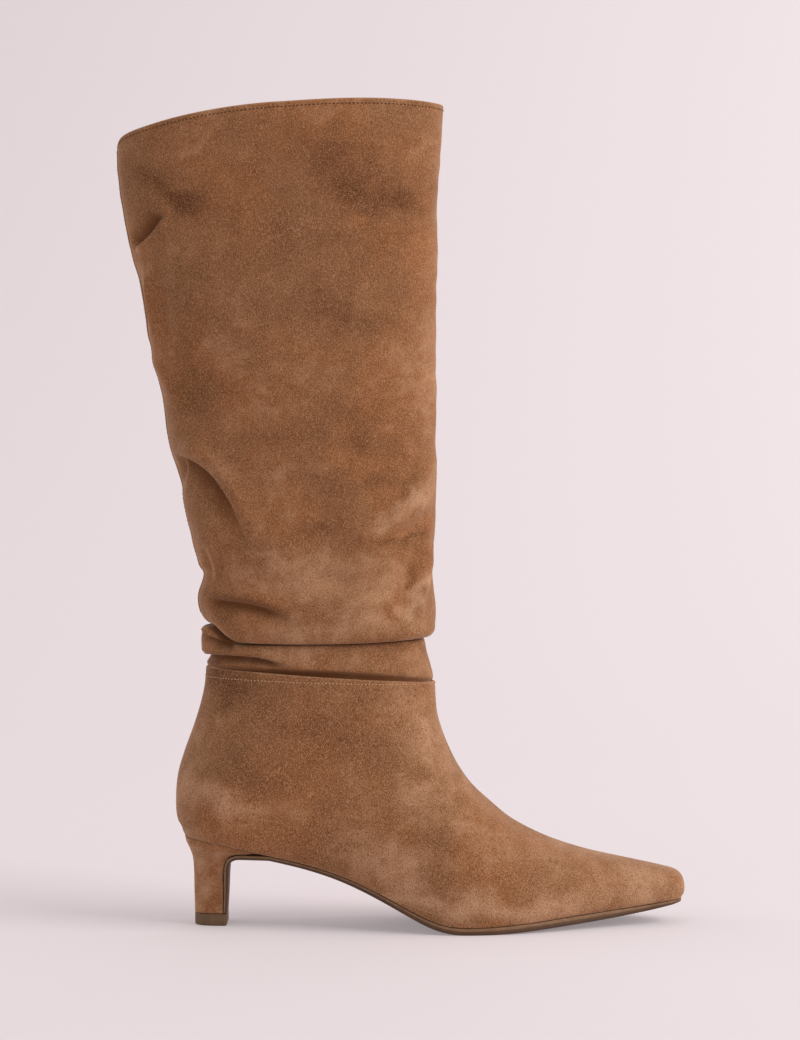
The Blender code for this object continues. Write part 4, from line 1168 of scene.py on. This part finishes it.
def suede_shading():
    """The suede's colour from its brushed nap with painted highlights and painted shade, its mottling, its grain
    and the painted shade in its folds, gaps and seam.
    """
    nodes, given, out = effect(
        "suede_shading",
        (
            ("Base", "Color", (0.3, 0.17, 0.09, 1)),
            ("Light", "Color", (0.5, 0.3, 0.2, 1)),
            ("Dark", "Color", (0.1, 0.06, 0.03, 1)),
            ("Warm", "Color", (0.36, 0.16, 0.06, 1)),
            ("Cool", "Color", (0.25, 0.17, 0.1, 1)),
            ("Brushed", "Float", 0.0),
            ("Sunken", "Float", 0.0),
            *((label, "Float", 0.5) for label in ("Patches", "Warmth", "Freckle", "Speckle", "Streak")),
            ("Grain Contrast", "Float", 1.0),
        ),
        (("Colour", "Color"), ("Roughness", "Float")),
    )

    def swing_of(label, amount):
        return nodes.times(nodes.minus(given[label], 0.5), amount)

    light, dark, warmth = given["Light"], given["Dark"], given["Warmth"]
    colour = nodes.mixed(nodes.times(warmth, 0.28), given["Base"], given["Warm"])
    colour = nodes.mixed(nodes.times(nodes.minus(1.0, warmth), 0.26), colour, given["Cool"])
    # The nap values bring painted highlights and painted shade as well as the nap's own tone
    tone = nodes.plus(nodes.plus(swing_of("Patches", 0.36), swing_of("Freckle", 0.22)), given["Brushed"])
    colour = nodes.mixed(nodes.times(nodes.maths("MAXIMUM", tone, 0.0), 1.0, clamp=True), colour, light)
    colour = nodes.mixed(nodes.times(nodes.maths("MINIMUM", tone, 0.0), -0.85, clamp=True), colour, dark)
    grain = nodes.plus(swing_of("Speckle", 1.3), swing_of("Streak", 0.6))
    grain = nodes.times(grain, given["Grain Contrast"])
    colour = nodes.mixed(nodes.times(nodes.maths("MAXIMUM", grain, 0.0), 0.86), colour, light)
    colour = nodes.mixed(nodes.times(nodes.maths("MINIMUM", grain, 0.0), -1.15), colour, dark)
    # Painted shade: darker in the folds, under the lip, in the gap above the ankle edge and along the back seam
    colour = nodes.mixed(nodes.times(given["Sunken"], 0.82), colour, dark)
    nodes.fill(out, Colour=colour, Roughness=nodes.ranged(given["Speckle"], 0.0, 1.0, 0.98, 0.82))
    return nodes.tree


def new_material(name):
    """A material with its nodes, its surface's inputs and the place of each shaded point on the boot."""
    material = bpy.data.materials.new(name)
    material.use_nodes = True
    nodes = Nodes(material.node_tree)
    where = nodes.add("TexCoord").outputs["Object"]
    return material, nodes, material.node_tree.nodes["Principled BSDF"].inputs, where


def make_suede(look, effects):
    """Suede for one piece, with the grazing glow of its nap."""
    material, nodes, surface, where = new_material(look.piece + "_suede")
    mottling = nodes.group(effects["mottling"], Position=where, Patch_Scale=look.patch_scale)
    grain = nodes.group(effects["grain"], Position=where, Grain_Scale=look.grain_scale)
    shading = nodes.group(
        effects["shading"],
        Base=SUEDE_BASE,
        Light=SUEDE_LIGHT,
        Dark=SUEDE_DARK,
        Warm=SUEDE_WARM,
        Cool=SUEDE_COOL,
        # The nap attribute holds the brushed nap together with painted highlights and painted shade
        Brushed=nodes.attribute("nap"),
        Sunken=nodes.attribute("sunken"),
        Patches=mottling["Patches"],
        Warmth=mottling["Warmth"],
        Freckle=mottling["Freckle"],
        Speckle=grain["Speckle"],
        Streak=grain["Streak"],
        Grain_Contrast=look.grain_contrast,
    )
    nodes.fill(
        surface,
        Base_Color=shading["Colour"],
        Roughness=shading["Roughness"],
        Normal=nodes.bump(grain["Height"], 0.55, 0.00035),
        Specular_IOR_Level=0.18,
        Sheen_Weight=0.45,
        Sheen_Roughness=0.42,
        Sheen_Tint=SHEEN_TINT,
    )
    return material


def make_thread(name, colour):
    material, nodes, surface, where = new_material(name)
    twist = nodes.noise(nodes.stretched(where, (1.0, 1.0, 1.0), (0.6, 0.6, 0.0)), 1800.0, 2.0, 0.6)
    tone = nodes.mixed(nodes.ranged(twist, 0.35, 0.65), shade(colour, 0.7), colour)
    normal = nodes.bump(twist, 0.6, 0.0002)
    nodes.fill(surface, Base_Color=tone, Normal=normal, Roughness=0.85, Specular_IOR_Level=0.12)
    return material


def make_lining_leather():
    material, nodes, surface, where = new_material("lining_leather")
    grain = nodes.noise(where, 420.0, 4.0, 0.6, 0.3)
    cloud = nodes.noise(where, 26.0, 3.0, 0.5, 0.3)
    colour = nodes.mixed(nodes.ranged(cloud, 0.3, 0.7), shade(LINING_COLOUR, 0.86), LINING_COLOUR)
    pores = nodes.minus(1.0, nodes.ranged(grain, 0.30, 0.46, 0.72, 1.0))
    nodes.fill(
        surface,
        Base_Color=nodes.mixed(pores, colour, shade(LINING_COLOUR, 0.5)),
        Roughness=nodes.ranged(grain, 0.3, 0.7, 0.62, 0.5),
        Normal=nodes.bump(grain, 0.35, 0.0003),
    )
    return material


def make_sole_resin():
    """Moulded resin: a painted highlight band round the top of the edge over the resin's dark tone, and a
    scuffed tread.
    """
    material, nodes, surface, where = new_material("sole_resin")
    streaks = nodes.noise(nodes.stretched(where, (0.25, 1.0, 1.0)), 700.0, 3.0, 0.6, 0.2)
    cloud = nodes.noise(where, 60.0, 3.0, 0.6, 0.3)
    scuffs = nodes.noise(nodes.stretched(where, (1.0, 0.3, 1.0), (0.0, 0.0, 0.5)), 240.0, 4.0, 0.7, 0.8)
    worn = nodes.times(nodes.ranged(scuffs, 0.55, 0.72, 0.0, 0.5), nodes.attribute("tread"))
    # Painted highlight band along the top of the sole's edge
    colour = nodes.mixed(nodes.ranged(nodes.attribute("band"), 0.54, 0.62), SOLE_DARK, SOLE_LIGHT)
    colour = nodes.mixed(nodes.ranged(streaks, 0.35, 0.7, 0.0, 0.35), colour, shade(SOLE_DARK, 0.55))
    colour = nodes.mixed(nodes.ranged(cloud, 0.35, 0.75, 0.0, 0.15), colour, SOLE_LIGHT)
    nodes.fill(
        surface,
        Base_Color=nodes.mixed(worn, colour, SOLE_WORN),
        Roughness=nodes.ranged(cloud, 0.3, 0.7, 0.5, 0.66),
        Normal=nodes.bump(nodes.plus(streaks, scuffs), 0.25, 0.0002),
        Specular_IOR_Level=0.25,
    )
    return material


def make_tip_rubber():
    material, nodes, surface, where = new_material("tip_rubber")
    grain = nodes.noise(where, 900.0, 3.0, 0.6)
    cloud = nodes.noise(where, 130.0, 3.0, 0.6, 0.4)
    colour = nodes.mixed(nodes.ranged(cloud, 0.3, 0.7), shade(TIP_COLOUR, 0.75), TIP_COLOUR)
    nodes.fill(
        surface,
        Base_Color=nodes.mixed(nodes.ranged(grain, 0.55, 0.75, 0.0, 0.35), colour, TIP_FLECKS),
        Roughness=nodes.ranged(grain, 0.3, 0.7, 0.5, 0.68),
        Normal=nodes.bump(grain, 0.3, 0.0002),
    )
    return material


# The studio


def make_backdrop():
    """A pale floor that curves up behind the boot."""
    flat_end = BACKDROP_BEHIND - BACKDROP_BEND
    profile = [(y, 0.0) for y in (*BACKDROP_FLOOR, flat_end)]
    for angle in quarter_turn(BACKDROP_STEPS)[1:]:
        up = BACKDROP_BEND - BACKDROP_BEND * math.cos(angle)
        profile.append((flat_end + BACKDROP_BEND * math.sin(angle), up))
    profile.append((BACKDROP_BEHIND, BACKDROP_TOP))
    points = [(side * BACKDROP_HALF, y, z) for y, z in profile for side in (-1, 1)]
    mesh = bpy.data.meshes.new("backdrop")
    mesh.from_pydata(points, [], grid_faces(len(profile), 2, closed=False))
    mesh.shade_smooth()
    material, nodes, surface, where = new_material("backdrop_paper")
    tone = nodes.mixed(nodes.noise(where, 900.0, 2.0, 0.5), shade(FLOOR_COLOUR, 0.985), FLOOR_COLOUR)
    nodes.fill(
        surface,
        Base_Color=tone,
        Roughness=0.85,
        Specular_IOR_Level=0.2,
        Emission_Color=GLOW_COLOUR,
        Emission_Strength=BACKDROP_GLOW,
    )
    mesh.materials.append(material)
    backdrop = bpy.data.objects.new("backdrop", mesh)
    bpy.context.scene.collection.objects.link(backdrop)


def add_softbox(box):
    light = bpy.data.lights.new(box.name, "AREA")
    light.shape = "RECTANGLE"
    light.size, light.size_y = box.size
    light.energy = box.power
    light.color = box.colour
    stand = bpy.data.objects.new(box.name, light)
    stand.location = box.place
    x, y, z = np.subtract(box.target, box.place)
    stand.rotation_euler = (math.pi / 2 + math.atan2(z, math.hypot(x, y)), 0, math.atan2(-x, y))
    bpy.context.scene.collection.objects.link(stand)


def make_camera():
    camera = bpy.data.cameras.new("camera")
    camera.sensor_fit = "VERTICAL"
    camera.sensor_height = SENSOR
    camera.lens = FOCAL_PIXELS / PHOTO_HEIGHT * SENSOR
    camera.clip_end = CAMERA_REACH
    stand = bpy.data.objects.new("camera", camera)
    stand.location = (CAMERA_X * MM, -CAMERA_DISTANCE * MM, CAMERA_HEIGHT * MM)
    pitch = math.atan2(PHOTO_HEIGHT / 2 - HORIZON_ROW, FOCAL_PIXELS)
    stand.rotation_euler = (math.pi / 2 - pitch, 0.0, 0.0)
    bpy.context.scene.collection.objects.link(stand)
    bpy.context.scene.camera = stand


def make_room():
    """Soft light from all round, with a plain pale room seen past the backdrop's ends."""
    world = bpy.data.worlds.new("studio_room")
    world.use_nodes = True
    nodes = Nodes(world.node_tree)
    lit = world.node_tree.nodes["Background"]
    nodes.fill(lit.inputs, Color=ROOM_COLOUR, Strength=ROOM_LIGHT)
    seen = nodes.add("Background", FAR_ROOM)
    to_camera = nodes.add("LightPath").outputs["Is Camera Ray"]
    either = nodes.add("MixShader", to_camera, lit.outputs["Background"], seen.outputs["Background"])
    nodes.give(world.node_tree.nodes["World Output"].inputs["Surface"], either.outputs["Shader"])
    bpy.context.scene.world = world


def main():
    effects = {"mottling": nap_mottling(), "grain": suede_grain(), "shading": suede_shading()}
    leg_suede, foot_suede, heel_suede = (make_suede(look, effects) for look in SUEDES)
    lining = make_lining_leather()
    bpy.context.scene.view_settings.view_transform = "Standard"
    make_camera()
    make_backdrop()
    make_room()
    for box in SOFTBOXES:
        add_softbox(box)
    make_shaft(leg_suede, make_thread("dark_thread", THREAD_DARK))
    make_shaft_lining(lining)
    make_foot(foot_suede, lining, make_thread("light_thread", THREAD_COLOUR))
    make_heel(heel_suede)
    make_heel_tip(make_tip_rubber())
    make_outsole(make_sole_resin())
    make_sock(lining)


main()
